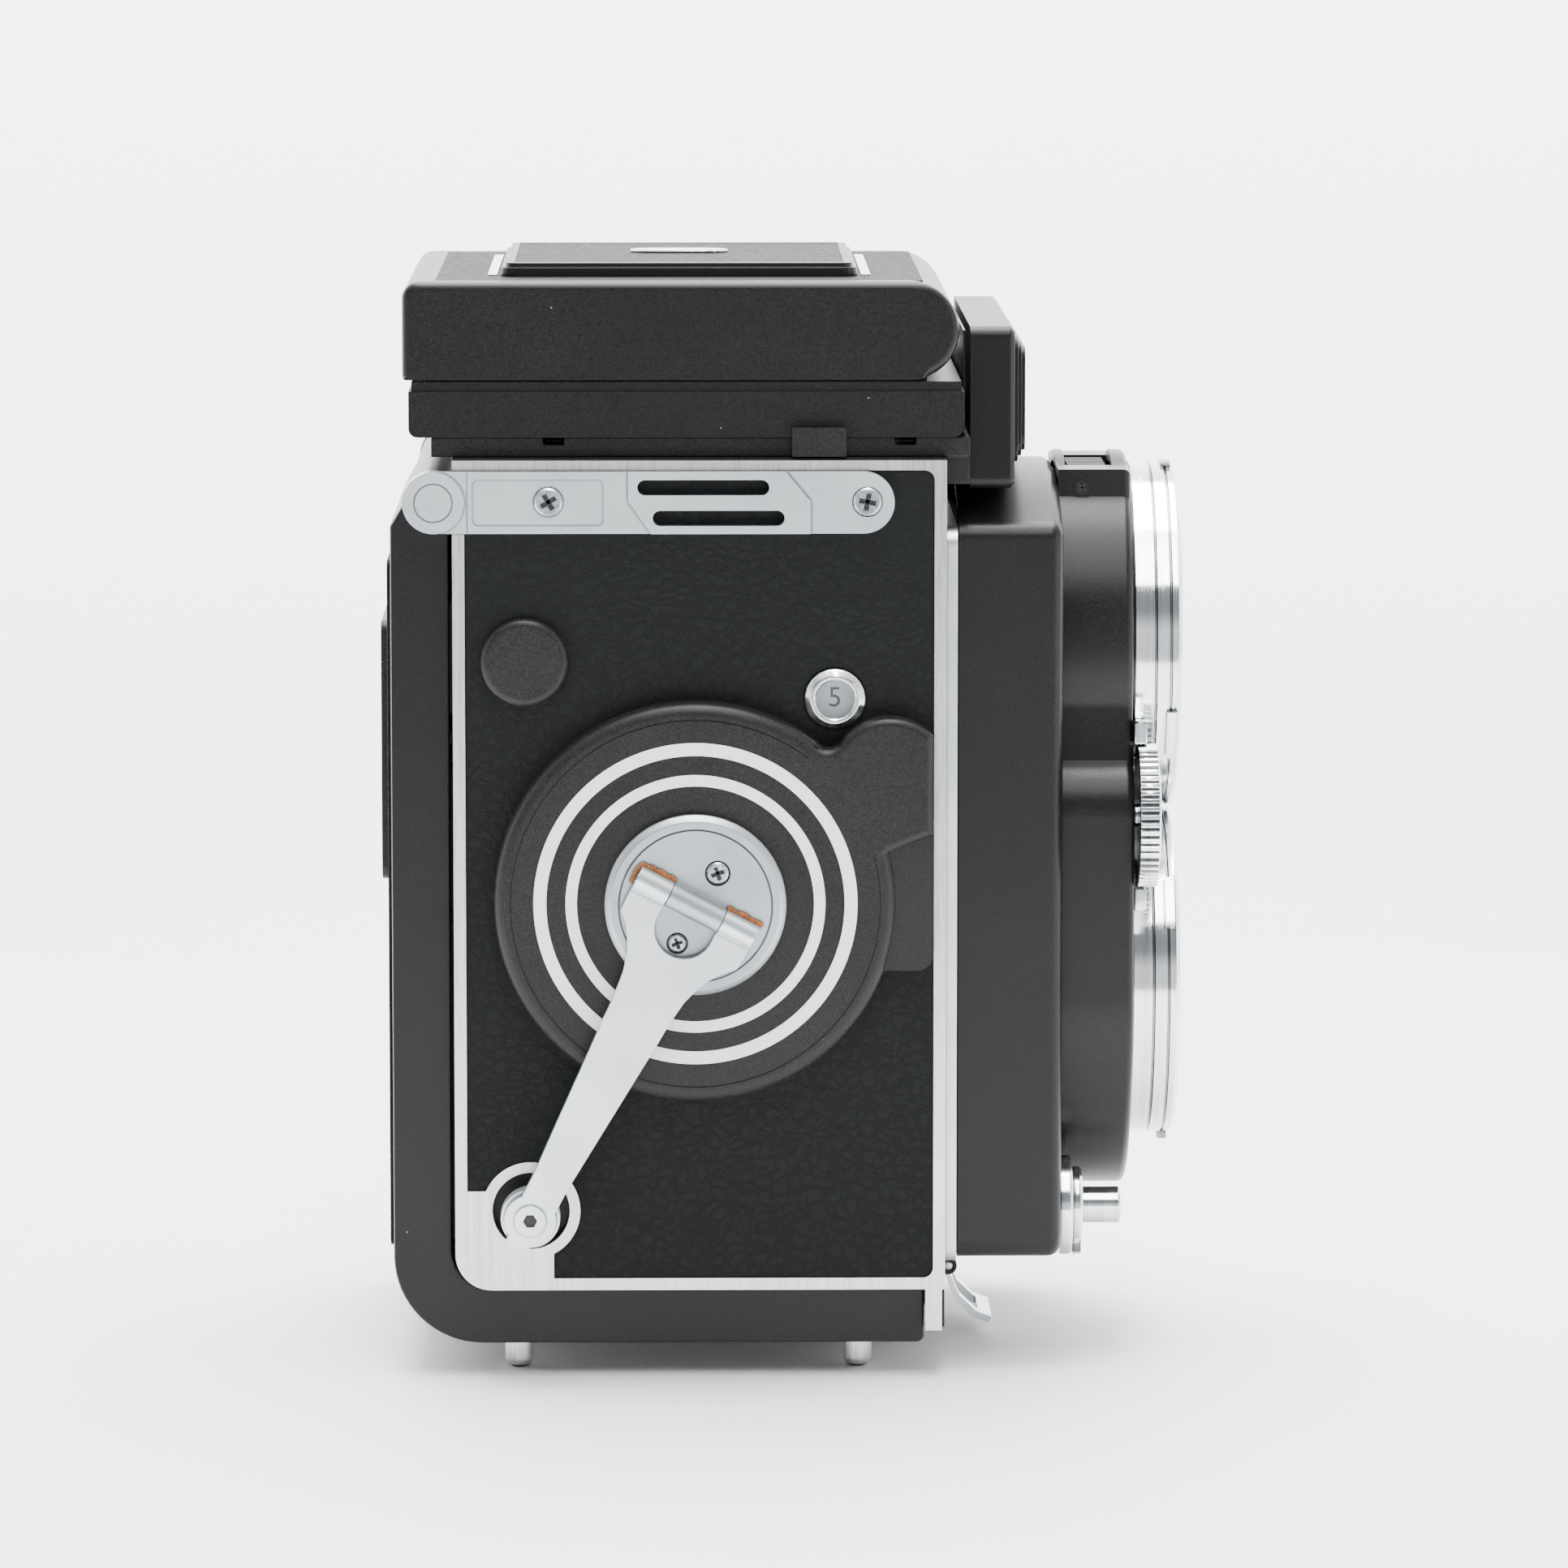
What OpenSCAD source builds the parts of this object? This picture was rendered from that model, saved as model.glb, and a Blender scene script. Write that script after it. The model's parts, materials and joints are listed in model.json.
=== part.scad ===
// Twin lens reflex camera for 6 x 6 cm roll film, with its hood closed and its crank parked.
// Lenses look along -Y, the crank is on the -X side, the focusing knob on the +X side, +Z is up.
// The origin is the middle of the tripod socket's mouth, on the underside of the back door.

/* [Body] */
// Half the width of the body casting
body_half = 37; // [36:0.5:40]
// Front face of the body, ahead of the tripod axis
body_front = 36; // [36:0.5:38]
// Rear face of the body, behind the tripod axis
body_rear = 28.6; // [28:0.2:30]
// Height of the body's flat top
body_top = 117.5; // [117:0.5:121]
// Height of the body's underside, above the door's underside
body_bottom = 8; // [7.5:0.1:8.5]
// Thickness of the brushed side plates
plate_t = 1.3; // [1:0.1:1.8]
// Width of the bright border that a side plate shows round its leather
border = 1.6; // [1.2:0.1:2.2]
// Thickness of the leather covering on the sides
leather_t = 1.1; // [0.8:0.1:1.2]
// Radius of the side plates' lower rear corner
plate_corner = 4.8; // [3:0.2:5.4]

/* [Back door] */
// Rear face of the door, behind the tripod axis
door_rear = 36.8; // [36:0.2:39]
// Thickness of the door's walls
door_wall = 1.5; // [1.2:0.1:1.8]
// Gap between the door and the body or its plates
door_gap = 0.5; // [0.4:0.1:0.7]
// Outer radius of the door's lower rear corner
door_corner = 11.7; // [9:0.3:13]
// Height of the door's hinge axis
hinge_z = 111.9; // [111:0.1:113]
// Place of the door's hinge axis behind the tripod axis
hinge_y = 31; // [30.6:0.2:31.4]
// Radius of the door's hinge barrel
barrel_r = 3.8; // [3.2:0.1:3.9]
// Radius of the hinge pin
pin_r = 1.2; // [1:0.1:1.6]
// How far the feet stand below the door
foot_h = 4.4; // [3:0.2:6]
// Radius of a foot
foot_r = 1.9; // [1.5:0.1:2.5]
// Radius of the tripod socket's threaded hole (1/4 inch thread, at its crests)
socket_r = 3.2; // [2.6:0.1:3.4]
// Depth of the tripod socket
socket_depth = 4; // [3.5:0.25:4.25]

/* [Crank] */
// Place of the crank's axis behind the tripod axis
crank_y = -3.1; // [-4:0.1:-2.5]
// Height of the crank's axis
crank_z = 59.5; // [58.5:0.5:60.5]
// Radius of the crank's round housing
housing_r = 26.4; // [25:0.2:27]
// How far the crank's housing stands out of the leather
housing_t = 4.1; // [3.6:0.1:4.3]
// Radius of the bright hub
hub_r = 11.9; // [11:0.1:13]
// Radius of the crank's shaft
shaft_r = 5; // [4:0.5:6]
// Length of the crank from its axis to the knob's axis
crank_len = 46.7; // [45:0.1:47]
// Angle of the parked crank from straight down, towards the rear
crank_angle = 27.7; // [26:0.1:29]
// Radius of the crank's fold barrel
fold_r = 1.65; // [1.5:0.05:1.7]
// Thickness of the crank's arm
arm_t = 1.4; // [1.1:0.1:1.5]
// Radius of the crank's turning knob
knob_r = 3.9; // [3.4:0.1:4.2]
// Radius of the well that the knob parks over
well_r = 5.1; // [4.8:0.1:5.4]
// Depth of the well, from the side plate's face
well_depth = 3.9; // [2:0.1:3.9]

/* [Strap brackets] */
// Half the height of a strap bracket, which is also the radius of its ends
bracket_r = 4.05; // [3.8:0.05:4.2]
// Thickness of a strap bracket on the leather
bracket_t = 1.4; // [1:0.1:1.5]
// Length of a strap bracket's straight part, from the hinge axis
bracket_len = 56.1; // [50:0.5:57]
// Width of a strap slot
slot_w = 2; // [1.6:0.1:2.2]

/* [Lenses] */
// Height of the viewing lens
view_z = 90.6; // [90:0.1:91]
// Height of the taking lens
take_z = 44.7; // [44:0.1:45]
// Outer radius of the viewing lens's barrel
view_r = 23.3; // [22:0.1:23.4]
// Outer radius of the taking lens's barrel
take_r = 22.3; // [21:0.1:22.4]
// How far a barrel stands ahead of the lens cover
barrel_l = 6.6; // [5:0.2:8]
// Half the width of the lens standard
standard_half = 33; // [32.5:0.5:34]
// Depth of the lens standard's box
standard_d = 13.8; // [12:0.2:16]
// Depth of the raised cover round the two lenses
cover_d = 9.7; // [8:0.2:12]
// Wall of the lens standard and its cover
standard_wall = 1.5; // [1.2:0.1:1.8]
// How far the lens standard focuses forward
focus_travel = 7; // [5:0.5:7]

/* [Controls] */
// Radius of the two exposure wheels
wheel_r = 9.5; // [8:0.1:9.8]
// Thickness of an exposure wheel
wheel_t = 2.5; // [2:0.1:3]
// Number of grips round an exposure wheel
wheel_grips = 54; // [36:2:60]
// Distance of an exposure wheel's axis from the middle
wheel_x = 25.8; // [25.4:0.1:27]
// Radius of the shutter release's plunger
plunger_r = 2.4; // [2:0.1:2.8]
// Radius of the cable release's threaded hole in the plunger
cable_r = 1.4; // [1:0.1:1.6]
// Travel of the shutter release
plunger_travel = 2.5; // [1.5:0.5:3]
// Radius of the focusing knob
focus_r = 20; // [17:0.5:21]
// How far the focusing knob stands out of the leather
focus_h = 17.5; // [14:0.5:20]
// Radius of the two spool knobs
spool_knob_r = 6.4; // [5.5:0.1:6.8]
// How far a spool knob pulls out
spool_pull = 5; // [3:0.5:6]
// Module of the wind gears (pitch diameter over number of teeth)
gear_module = 1; // [1:0.05:1.05]

/* [Hood] */
// Half the width of the hood
hood_half = 35.5; // [34.5:0.5:36.5]
// Height of the hood's frame, from the top of its mount
hood_frame_h = 7.5; // [6:0.5:9]
// Height of the hood's lid
lid_h = 12.8; // [12.4:0.2:14]
// Wall of the hood's lid
lid_wall = 1.2; // [1:0.1:1.3]
// Length of the side panels when they stand up
panel_h = 32; // [24:1:32]
// Length of the rear panel when it stands up
rear_panel_h = 14; // [10:1:16]
// Thickness of the folding panels
panel_t = 0.8; // [0.6:0.1:0.9]
// Distance of the magnifier's pivot from the lid's pivot
magnifier_reach = 38; // [37:0.5:38.5]

/* [Clearances] */
// Radial clearance of a pin or shaft in its bore
running = 0.05; // [0.02:0.01:0.1]
// Space between two parts that move past each other
free_gap = 0.3; // [0.2:0.05:0.4]

/* [Hidden] */
$fn = 64;
eps = 0.02;

// ---- side plates and what lies on them
plate_x = body_half + plate_t;                 // outer face of a side plate
leather_x = body_half + leather_t;             // outer face of the side leather
plate_top = body_top - 0.2;
plate_bottom = body_bottom - 0.5;
leather_edges = [-body_front + border, plate_bottom + border, body_rear - border, plate_top - 1.3];
leather_corner = 1.3;
well = [crank_y + crank_len * sin(crank_angle), crank_z - crank_len * cos(crank_angle)];
well_rim = 1.4;
tail_w = 2.2;                                  // the plates' tail in front of the door
tail_bottom = 2;
// ---- door
door_half = body_half - 0.8;
door_front = -body_front + tail_w + free_gap + 0.2;
door_inner = body_rear + door_gap;
door_floor = plate_bottom - door_gap + 0.3;    // top of the door's bottom tray
latch_pivot = [-body_front - 1.4, 5.2];
latch_half = 7;
latch_barrel_r = 1.2;
latch_pin_r = 0.6;
holder = [60.5, 95];                           // lower and upper edge of the card holder
holder_half = 26;
knuckle_x = door_half + 0.4;                   // where the bracket's knuckle begins
// ---- crank, measured outwards from the middle plane
housing_x = leather_x + housing_t;
ring_x = housing_x + 0.1;
hub_x0 = ring_x + 0.1;
hub_x1 = hub_x0 + 1.7;
arm_x0 = hub_x1 + 0.3;
fold_x = arm_x0 + arm_t + 0.1;                 // height of the fold axis
fold_pin_r = 0.8;
fold_len = 17.2;
fold_knuckle = 7.6;                            // length of the hub's own knuckle
arm_cut_r = 3.9;
knob_x0 = plate_x + 2.3;                       // clears the brackets and the cap as the crank turns
arm_tab = 5.4;                                 // finger tab beyond the knob's axis
hub_bore_r = shaft_r + running;
// ---- wind gears
crank_teeth = 32;
idler_teeth = 14;
take_up_teeth = 17;
gear_face = 2.2;
gear_x0 = body_half - 2.8;                     // inner face of the gears
gear_space = [gear_x0 - 0.4, body_half];       // the pocket that holds them
take_up_dir = [22.3, 31.4] / norm([22.3, 31.4]);
gear_reach_idler = gear_module * (crank_teeth + idler_teeth) / 2;
gear_reach_take_up = gear_reach_idler + gear_module * (idler_teeth + take_up_teeth) / 2;
idler = [crank_y, crank_z] + take_up_dir * gear_reach_idler;
take_up = [crank_y, crank_z] + take_up_dir * gear_reach_take_up;
gear_line = atan2(take_up_dir[1], take_up_dir[0]);
gear_rim = 1.3;                                // room round a gear in its pocket
// ---- film
supply = [-14.5, 14.6];                          // axis of the supply spool's chamber
chamber_r = 13.2;
chamber_half = 33;
spool_flange_r = 12.3;
spool_core_r = 5;
spool_half = 32.4;
key_r = 2.4;
frame_half = 28;                               // half of the 56 mm picture
cone_half = 13;
cone_front = -26;                              // where the light chamber and the mirror box begin
// ---- counter
counter = [-21.4, 86];
counter_r = 4.03;
counter_glass_r = 2.47;
dial_offset = 4;
dial_r = 6.4;
dial_pin_r = 0.8;
dial_t = 0.7;
// ---- front
sleeve_gap = 0.5;
guard_t = 1.6;                                 // bright guard on the body's front
guard_half = standard_half + 1.1;
opening_half = standard_half - 1;              // opening in the body's front and its guard
opening_z = [12.2, 106.4];
standard_y = -(body_front + guard_t + 0.2);
standard_face = standard_y - standard_d;
standard_z0 = 10.5;
arch_r = 90;                                   // the standard's top is one shallow arch
arch_top = 114.3;
arch_z = arch_top - arch_r;
cover_face = standard_face - cover_d;
cover_view_r = view_r + 1.6;
cover_take_r = take_r + 6.7;
window_half = 15;                              // half width of the settings window's housing
window_slot = [8.2, 0.9];
barrel_face = cover_face - barrel_l;
view_hole_r = 16.5;                            // hole behind the viewing lens
case_l = 22;                                   // shutter case, from the cover's face back
sleeve_rear = -body_front + focus_travel + 2;  // keeps 2 mm of the sleeve in the body at full travel
wheel_z = 69;
plunger_l = 8.3;                               // how far the plunger stands out
cable_depth = 4.3;                             // depth of the cable release's thread
wheel_y = cover_face - 0.5;
guard_plate_t = 1.7;
release = [-24, 16.3];
// ---- hood
mount_top = body_top + 2.6;
mount_half = 35;
mount_rear = 31.4;
mount_front = -39.2;
hood_rear = 34.3;
hood_front = -38.4;
frame_top = mount_top + hood_frame_h;
lid_top = frame_top + lid_h;
lid_end_r = lid_h / 2;
lid_pivot = [-31.3, frame_top + lid_end_r];
lid_rear = hood_rear + 0.8;
lid_pin_r = 1.5;
ear_half = 2.2;
ear_x = [31.8, 33.8];                          // sides of the ears that carry the lid
panel_x = hood_half - lid_wall - 1.1;          // side panels' hinge axis
panel_y = lid_rear - lid_wall - 1.6;           // rear panel's hinge axis
panel_z = frame_top + 0.8;
panel_knuckle_r = 0.7;
mitre_gap = 0.3;
magnifier_y = lid_pivot[0] + magnifier_reach;
magnifier_z = lid_pivot[1] + 3;
magnifier_r = 9.5;
magnifier_pin_r = 0.7;
magnifier_ears = [6.4, 7.6];                   // sides of the ears it hangs between
screen = [-33, 20];                            // front and rear edges of the focusing screen
lid_recess = 0.4;
cover_seat = lid_top - lid_recess;             // floor of the lid leather's recess
lid_panel = [-32, -33, 32, 30.8];              // the lid leather's edges
flap = [-24.6, 22.4];                          // front and rear edge of the finder flap
flap_half = 24;
flap_t = 2.2;
strip_y = [flap[1] + 0.5, flap[0] - 1.8];
name_front = -45.1;
name_top = 134.3;
name_bottom = 113;

// ---------------------------------------------------------------- helpers

// Outline drawn as (Y, Z), pushed from x0 to x1
module across(x0, x1) {
    translate([x0, 0, 0]) rotate([90, 0, 90]) linear_extrude(x1 - x0) children();
}

// Outline drawn as (X, Z), pushed forward from y by depth
module ahead(y, depth) {
    translate([0, y, 0]) rotate([90, 0, 0]) linear_extrude(depth) children();
}

// Stands a piece, drawn up its own Z, out of the crank side, the knob side or the front
module on_crank_side(x, at) { translate([-x, at[0], at[1]]) rotate([0, -90, 0]) children(); }
module on_knob_side(x, at) { translate([x, at[0], at[1]]) rotate([0, 90, 0]) children(); }
module on_front(y, at) { translate([at[0], y, at[1]]) rotate([90, 0, 0]) children(); }

// Rectangle with its four corners rounded by r = [low left, low right, top right, top left]
module rounded(x0, z0, x1, z1, r) {
    corner = [[x0, z0], [x1, z0], [x1, z1], [x0, z1]];
    flip = [[0, 0], [1, 0], [1, 1], [0, 1]];
    difference() {
        translate([x0, z0]) square([x1 - x0, z1 - z0]);
        for (i = [0:3]) if (r[i] > 0)
            translate(corner[i]) mirror([flip[i][0], 0, 0]) mirror([0, flip[i][1], 0]) difference() {
                translate([-eps, -eps]) square(r[i] + eps);
                translate([r[i], r[i]]) circle(r[i]);
            }
    }
}

// Two circles of radius r and the band between them
module stadium(a, b, r) {
    d = b - a;
    translate(a) circle(r);
    translate(b) circle(r);
    translate(a) rotate(atan2(d[1], d[0])) translate([0, -r]) square([norm(d), 2 * r]);
}

// Turned disc with its outer top edge bevelled
module turned(r, t, bevel = 0.3, bore = 0) {
    rotate_extrude() polygon([[bore, 0], [r, 0], [r, t - bevel], [r - bevel, t], [bore, t]]);
}

// Rim cut into grips, as one outline
module grips(r, count, depth) {
    step = 360 / count;
    polygon([for (i = [0:count - 1]) each [
        r * [cos(step * i), sin(step * i)],
        r * [cos(step * (i + 0.4)), sin(step * (i + 0.4))],
        (r - depth) * [cos(step * (i + 0.7)), sin(step * (i + 0.7))]
    ]]);
}

// Screw head, with its cross recess, standing up from z = 0
module screw_head(r, t, turn = 0) {
    recess = r * 0.35;
    difference() {
        turned(r, t, t * 0.4);
        for (a = [0, 90]) rotate(a + turn) translate([-r * 0.6, -recess / 2, t * 0.35])
            cube([r * 1.2, recess, t]);
    }
}

// Spur gear outline with one tooth along +X
module gear_outline(teeth) {
    pitch = gear_module * teeth / 2;
    tip = pitch + 0.8 * gear_module;
    root = pitch - 1.1 * gear_module;
    step = 360 / teeth;
    polygon([for (i = [0:teeth - 1]) each [
        root * [cos(step * (i - 0.27)), sin(step * (i - 0.27))],
        tip * [cos(step * (i - 0.08)), sin(step * (i - 0.08))],
        tip * [cos(step * (i + 0.08)), sin(step * (i + 0.08))],
        root * [cos(step * (i + 0.27)), sin(step * (i + 0.27))]
    ]]);
}

// A wind gear in the side pocket, turned by phase
module wind_gear(at, teeth, bore, phase) {
    difference() {
        across(-gear_x0 - gear_face, -gear_x0) translate(at) rotate(gear_line + phase)
            gear_outline(teeth);
        if (bore > 0) across(-body_half, -gear_x0 + eps) translate(at) circle(bore);
    }
}

// ---------------------------------------------------------------- outlines shared by several parts

module plate_outline() {
    difference() {
        union() {
            rounded(-body_front, plate_bottom, body_rear, plate_top, [0, plate_corner, 0, 0]);
            translate([-body_front + 0.4, tail_bottom]) square([tail_w, 10]);
        }
        translate([hinge_y, hinge_z]) circle(bracket_r + 0.1);
    }
}

module leather_outline(with_well) {
    difference() {
        rounded(leather_edges[0], leather_edges[1], leather_edges[2], leather_edges[3],
            leather_corner * [1, 1, 1, 1]);
        if (with_well) {
            translate(well) circle(well_r + well_rim);
            rounded(well[0] - 3, plate_bottom, body_rear, well[1] + 2.6, [0, 0, 0, 0]);
        }
        translate([hinge_y, hinge_z]) circle(bracket_r + 0.1);
    }
}

// Outline of the door's side: a rear upright and a bottom tray, with a rounded heel
module door_outline() {
    difference() {
        union() {
            rounded(door_front, 0, door_rear, hinge_z - 3.4, [1, door_corner, 0, 0]);
            polygon([[door_inner, hinge_z - 4], [door_rear, hinge_z - 4], [door_rear, hinge_z - 3.4],
                [hinge_y + barrel_r, hinge_z], [door_inner, hinge_z]]);
        }
        rounded(door_front - 10, door_floor, door_inner, hinge_z + 10,
            [0, plate_corner + door_gap, 0, 0]);
    }
    translate([hinge_y, hinge_z]) circle(barrel_r);
}

// The lens standard from the front: upright sides under one shallow arch
module standard_outline(inset) {
    intersection() {
        rounded(-standard_half + inset, standard_z0 + inset, standard_half - inset, arch_top,
            (3 - inset) * [1, 1, 0, 0]);
        translate([0, arch_z]) circle(arch_r - inset, $fn = 256);
    }
}

// The raised cover from the front: a round for each lens, a waist, and the window's housing
module cover_outline(inset) {
    translate([0, view_z]) circle(cover_view_r - inset, $fn = 96);
    translate([0, take_z]) circle(cover_take_r - inset, $fn = 96);
    rounded(-cover_take_r + inset, take_z, cover_take_r - inset, 77 - inset, (8 - inset) * [0, 0, 1, 1]);
    polygon([[-24.6 + inset, 70], [24.6 - inset, 70], [24.6 - inset, 76], [23.4 - inset, 85],
        [-23.4 + inset, 85], [-24.6 + inset, 76]]);
    rounded(-window_half + inset, view_z, window_half - inset, arch_top - 0.2 - inset, [0, 0, 0, 0]);
}

// ---------------------------------------------------------------- body

module body_shell() {
    inner_half = 31;
    color("#2b2c2e") difference() {
        union() {
            across(-body_half, body_half)
                rounded(-body_front, body_bottom, body_rear, body_top, [0, plate_corner - 0.5, 0, 0]);
            // apron in front of the door's tray
            translate([-door_half, -body_front, tail_bottom])
                cube([2 * door_half, tail_w, body_bottom]);
        }
        // room for the lens standard's sleeve
        translate([-opening_half, -body_front - eps, opening_z[0]])
            cube([2 * opening_half, body_front + cone_front, opening_z[1] - opening_z[0]]);
        // mirror box, under the focusing screen
        across(-inner_half, inner_half) polygon([[cone_front - eps, 72], [screen[1] - 1, 117],
            [screen[1] - 1, body_top + 1], [screen[0] + 1, body_top + 1], [screen[0] + 1, 104],
            [cone_front - eps, 104]]);
        // light chamber behind the taking lens
        intersection() {
            across(-inner_half, inner_half) polygon([[cone_front - eps, take_z - cone_half],
                [body_rear + eps, take_z - frame_half], [body_rear + eps, take_z + frame_half],
                [cone_front - eps, take_z + cone_half]]);
            linear_extrude(body_top) polygon([[-18, cone_front - eps], [18, cone_front - eps],
                [frame_half, body_rear + 1], [-frame_half, body_rear + 1]]);
        }
        // supply chamber, open to the door's tray
        across(-chamber_half, chamber_half) {
            translate(supply) circle(chamber_r);
            translate([supply[0] - chamber_r, -1]) square([2 * chamber_r, supply[1] + 1]);
            translate([supply[0], -1]) square([body_rear - supply[0] + 1, 12.2]);
        }
        // take-up chamber, open to the door
        across(-chamber_half, chamber_half) {
            translate(take_up) circle(chamber_r);
            translate([take_up[0], take_up[1] - chamber_r + 0.6])
                square([body_rear - take_up[0] + 1, 2 * chamber_r - 1.2]);
        }
        // hinge barrel's space
        across(-body_half - 1, body_half + 1) translate([hinge_y, hinge_z]) circle(barrel_r + 0.5);
        // crank's knob well
        across(-plate_x - 1, -plate_x + well_depth) translate(well) circle(well_r);
        // wind gears' pocket
        across(-gear_space[1] - 1, -gear_space[0]) {
            translate([crank_y, crank_z]) circle(gear_module * (crank_teeth / 2 + 0.8) + gear_rim);
            translate(idler) circle(gear_module * (idler_teeth / 2 + 0.8) + gear_rim);
            translate(take_up) circle(gear_module * (take_up_teeth / 2 + 0.8) + gear_rim);
        }
        across(-gear_x0, -30) translate(take_up) circle(key_r + running);
        // frame counter's pocket
        across(-body_half - 1, -body_half + dial_t + 0.4)
            translate([counter[0], counter[1] - dial_offset]) circle(dial_r + free_gap);
        // bores of the focusing knob's shaft and the two spool knobs
        across(30, body_half + 1) translate([crank_y, crank_z]) circle(shaft_r + running);
        across(30, body_half + 1) translate(take_up) circle(key_r + 1 + running);
        across(30, body_half + 1) translate(supply) circle(key_r + 1 + running);
    }
    // lugs beside the door's latch
    color("#2b2c2e") for (side = [0, 1]) mirror([side, 0, 0])
        across(latch_half + free_gap, latch_half + free_gap + 1.7) difference() {
            union() {
                translate(latch_pivot) circle(latch_barrel_r);
                translate([latch_pivot[0], latch_pivot[1] - latch_barrel_r])
                    square([-body_front - latch_pivot[0] + eps, 2 * latch_barrel_r]);
            }
            translate(latch_pivot) circle(latch_pin_r);
        }
    // posts that the idler gear and the counter's dial turn on
    color("#9a9ca0") across(-gear_x0 - gear_face - 0.2, -gear_space[0] + eps)
        translate(idler) circle(1.5);
    color("#9a9ca0") across(-body_half, -body_half + dial_t + 0.4 + eps)
        translate([counter[0], counter[1] - dial_offset]) circle(dial_pin_r);
}

// Both brushed side plates; only the crank's side has the well
module side_plates() {
    color("#b9bbbd") difference() {
        union() {
            across(-plate_x, -body_half) difference() {
                plate_outline();
                leather_outline(true);
                translate(well) circle(well_r);
            }
            across(body_half, plate_x) difference() {
                plate_outline();
                leather_outline(false);
            }
        }
        // relief under the strap brackets, level with the leather
        for (side = [0, 1]) mirror([side, 0, 0]) across(leather_x, plate_x + 1)
            stadium([hinge_y, hinge_z], [hinge_y - bracket_len, hinge_z], bracket_r + 0.05);
    }
}

// Leather on both sides, let into the side plates
module side_leather() {
    color("#1b1c1e") {
        across(-leather_x, -body_half) difference() {
            leather_outline(true);
            translate([crank_y, crank_z]) circle(shaft_r + 1);
            translate(counter) circle(counter_r);
        }
        across(body_half, leather_x) difference() {
            leather_outline(false);
            translate([crank_y, crank_z]) circle(shaft_r + 1);
            translate(take_up) circle(key_r + 1 + running);
            translate(supply) circle(key_r + 1 + running);
        }
    }
}

// One strap bracket, on the crank side: strip, hinge knuckle and slotted plate
module strap_bracket() {
    front_end = [hinge_y - bracket_len, hinge_z];
    raised = [5.6, -18.2];
    slots = [[4.4, 2], [2.4, -2]];
    slot_len = 16.2;
    difference() {
        union() {
            across(-leather_x - bracket_t, -leather_x) difference() {
                stadium([hinge_y, hinge_z], front_end, bracket_r);
                // shallow step between the knuckle and the slotted plate
                translate([front_end[0] - bracket_r, hinge_z - bracket_r - 1]) square([1.5, 1.6]);
            }
            across(-leather_x - bracket_t - 0.5, -leather_x) polygon([
                [raised[0], hinge_z + bracket_r], [raised[0], hinge_z + 0.2],
                [raised[0] - 3, hinge_z - bracket_r], [raised[1], hinge_z - bracket_r],
                [raised[1], hinge_z + 0.2], [raised[1] + 3.2, hinge_z + bracket_r]]);
            across(-leather_x - bracket_t - 0.3, -knuckle_x) translate([hinge_y, hinge_z])
                circle(bracket_r);
        }
        // strap slots, cut through
        for (s = slots) across(-plate_x - 3, -leather_x + 1)
            stadium([s[0] - slot_w / 2, hinge_z + s[1]], [s[0] - slot_len, hinge_z + s[1]], slot_w / 2);
        // screw seats
        for (y = screw_places) across(-leather_x - bracket_t - 1, -leather_x - bracket_t + 0.5)
            translate([y, hinge_z + 0.1]) circle(2);
        // sunk panel beside the knuckle, and the ring round the pin's end
        across(-leather_x - bracket_t - 1, -leather_x - bracket_t + 0.2)
            rounded(raised[0] + 3.2, hinge_z - bracket_r + 1, hinge_y - bracket_r - 1, hinge_z + bracket_r - 1,
                0.8 * [1, 1, 1, 1]);
        across(-leather_x - bracket_t - 1, -leather_x - bracket_t - 0.15) translate([hinge_y, hinge_z])
            difference() {
                circle(bracket_r * 0.64);
                circle(bracket_r * 0.59);
            }
        // bore of the door's pin
        across(-leather_x - bracket_t + 0.6, -knuckle_x + 1) translate([hinge_y, hinge_z])
            circle(pin_r);
    }
}
screw_places = [16, -25.6];

module strap_brackets() {
    color("#c9cbcc") for (side = [0, 1]) mirror([side, 0, 0]) strap_bracket();
}

module bracket_screws() {
    color("#a5a7aa") for (side = [0, 1]) mirror([side, 0, 0]) for (y = screw_places)
        on_crank_side(leather_x + bracket_t - 0.5, [y, hinge_z + 0.1]) screw_head(1.9, 0.8, 15 + y);
}

// Pins of the back door, its latch and the hood's lid
module hinge_pins() {
    reach = leather_x + bracket_t - 0.6;
    color("#9a9ca0") {
        across(-reach, reach) translate([hinge_y, hinge_z]) circle(pin_r);
        for (side = [0, 1]) mirror([side, 0, 0])
            across(ear_x[0], hood_half - 0.3) translate(lid_pivot) circle(lid_pin_r);
        across(-latch_half - free_gap - 1.7, latch_half + free_gap + 1.7) translate(latch_pivot)
            circle(latch_pin_r);
    }
}

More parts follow.
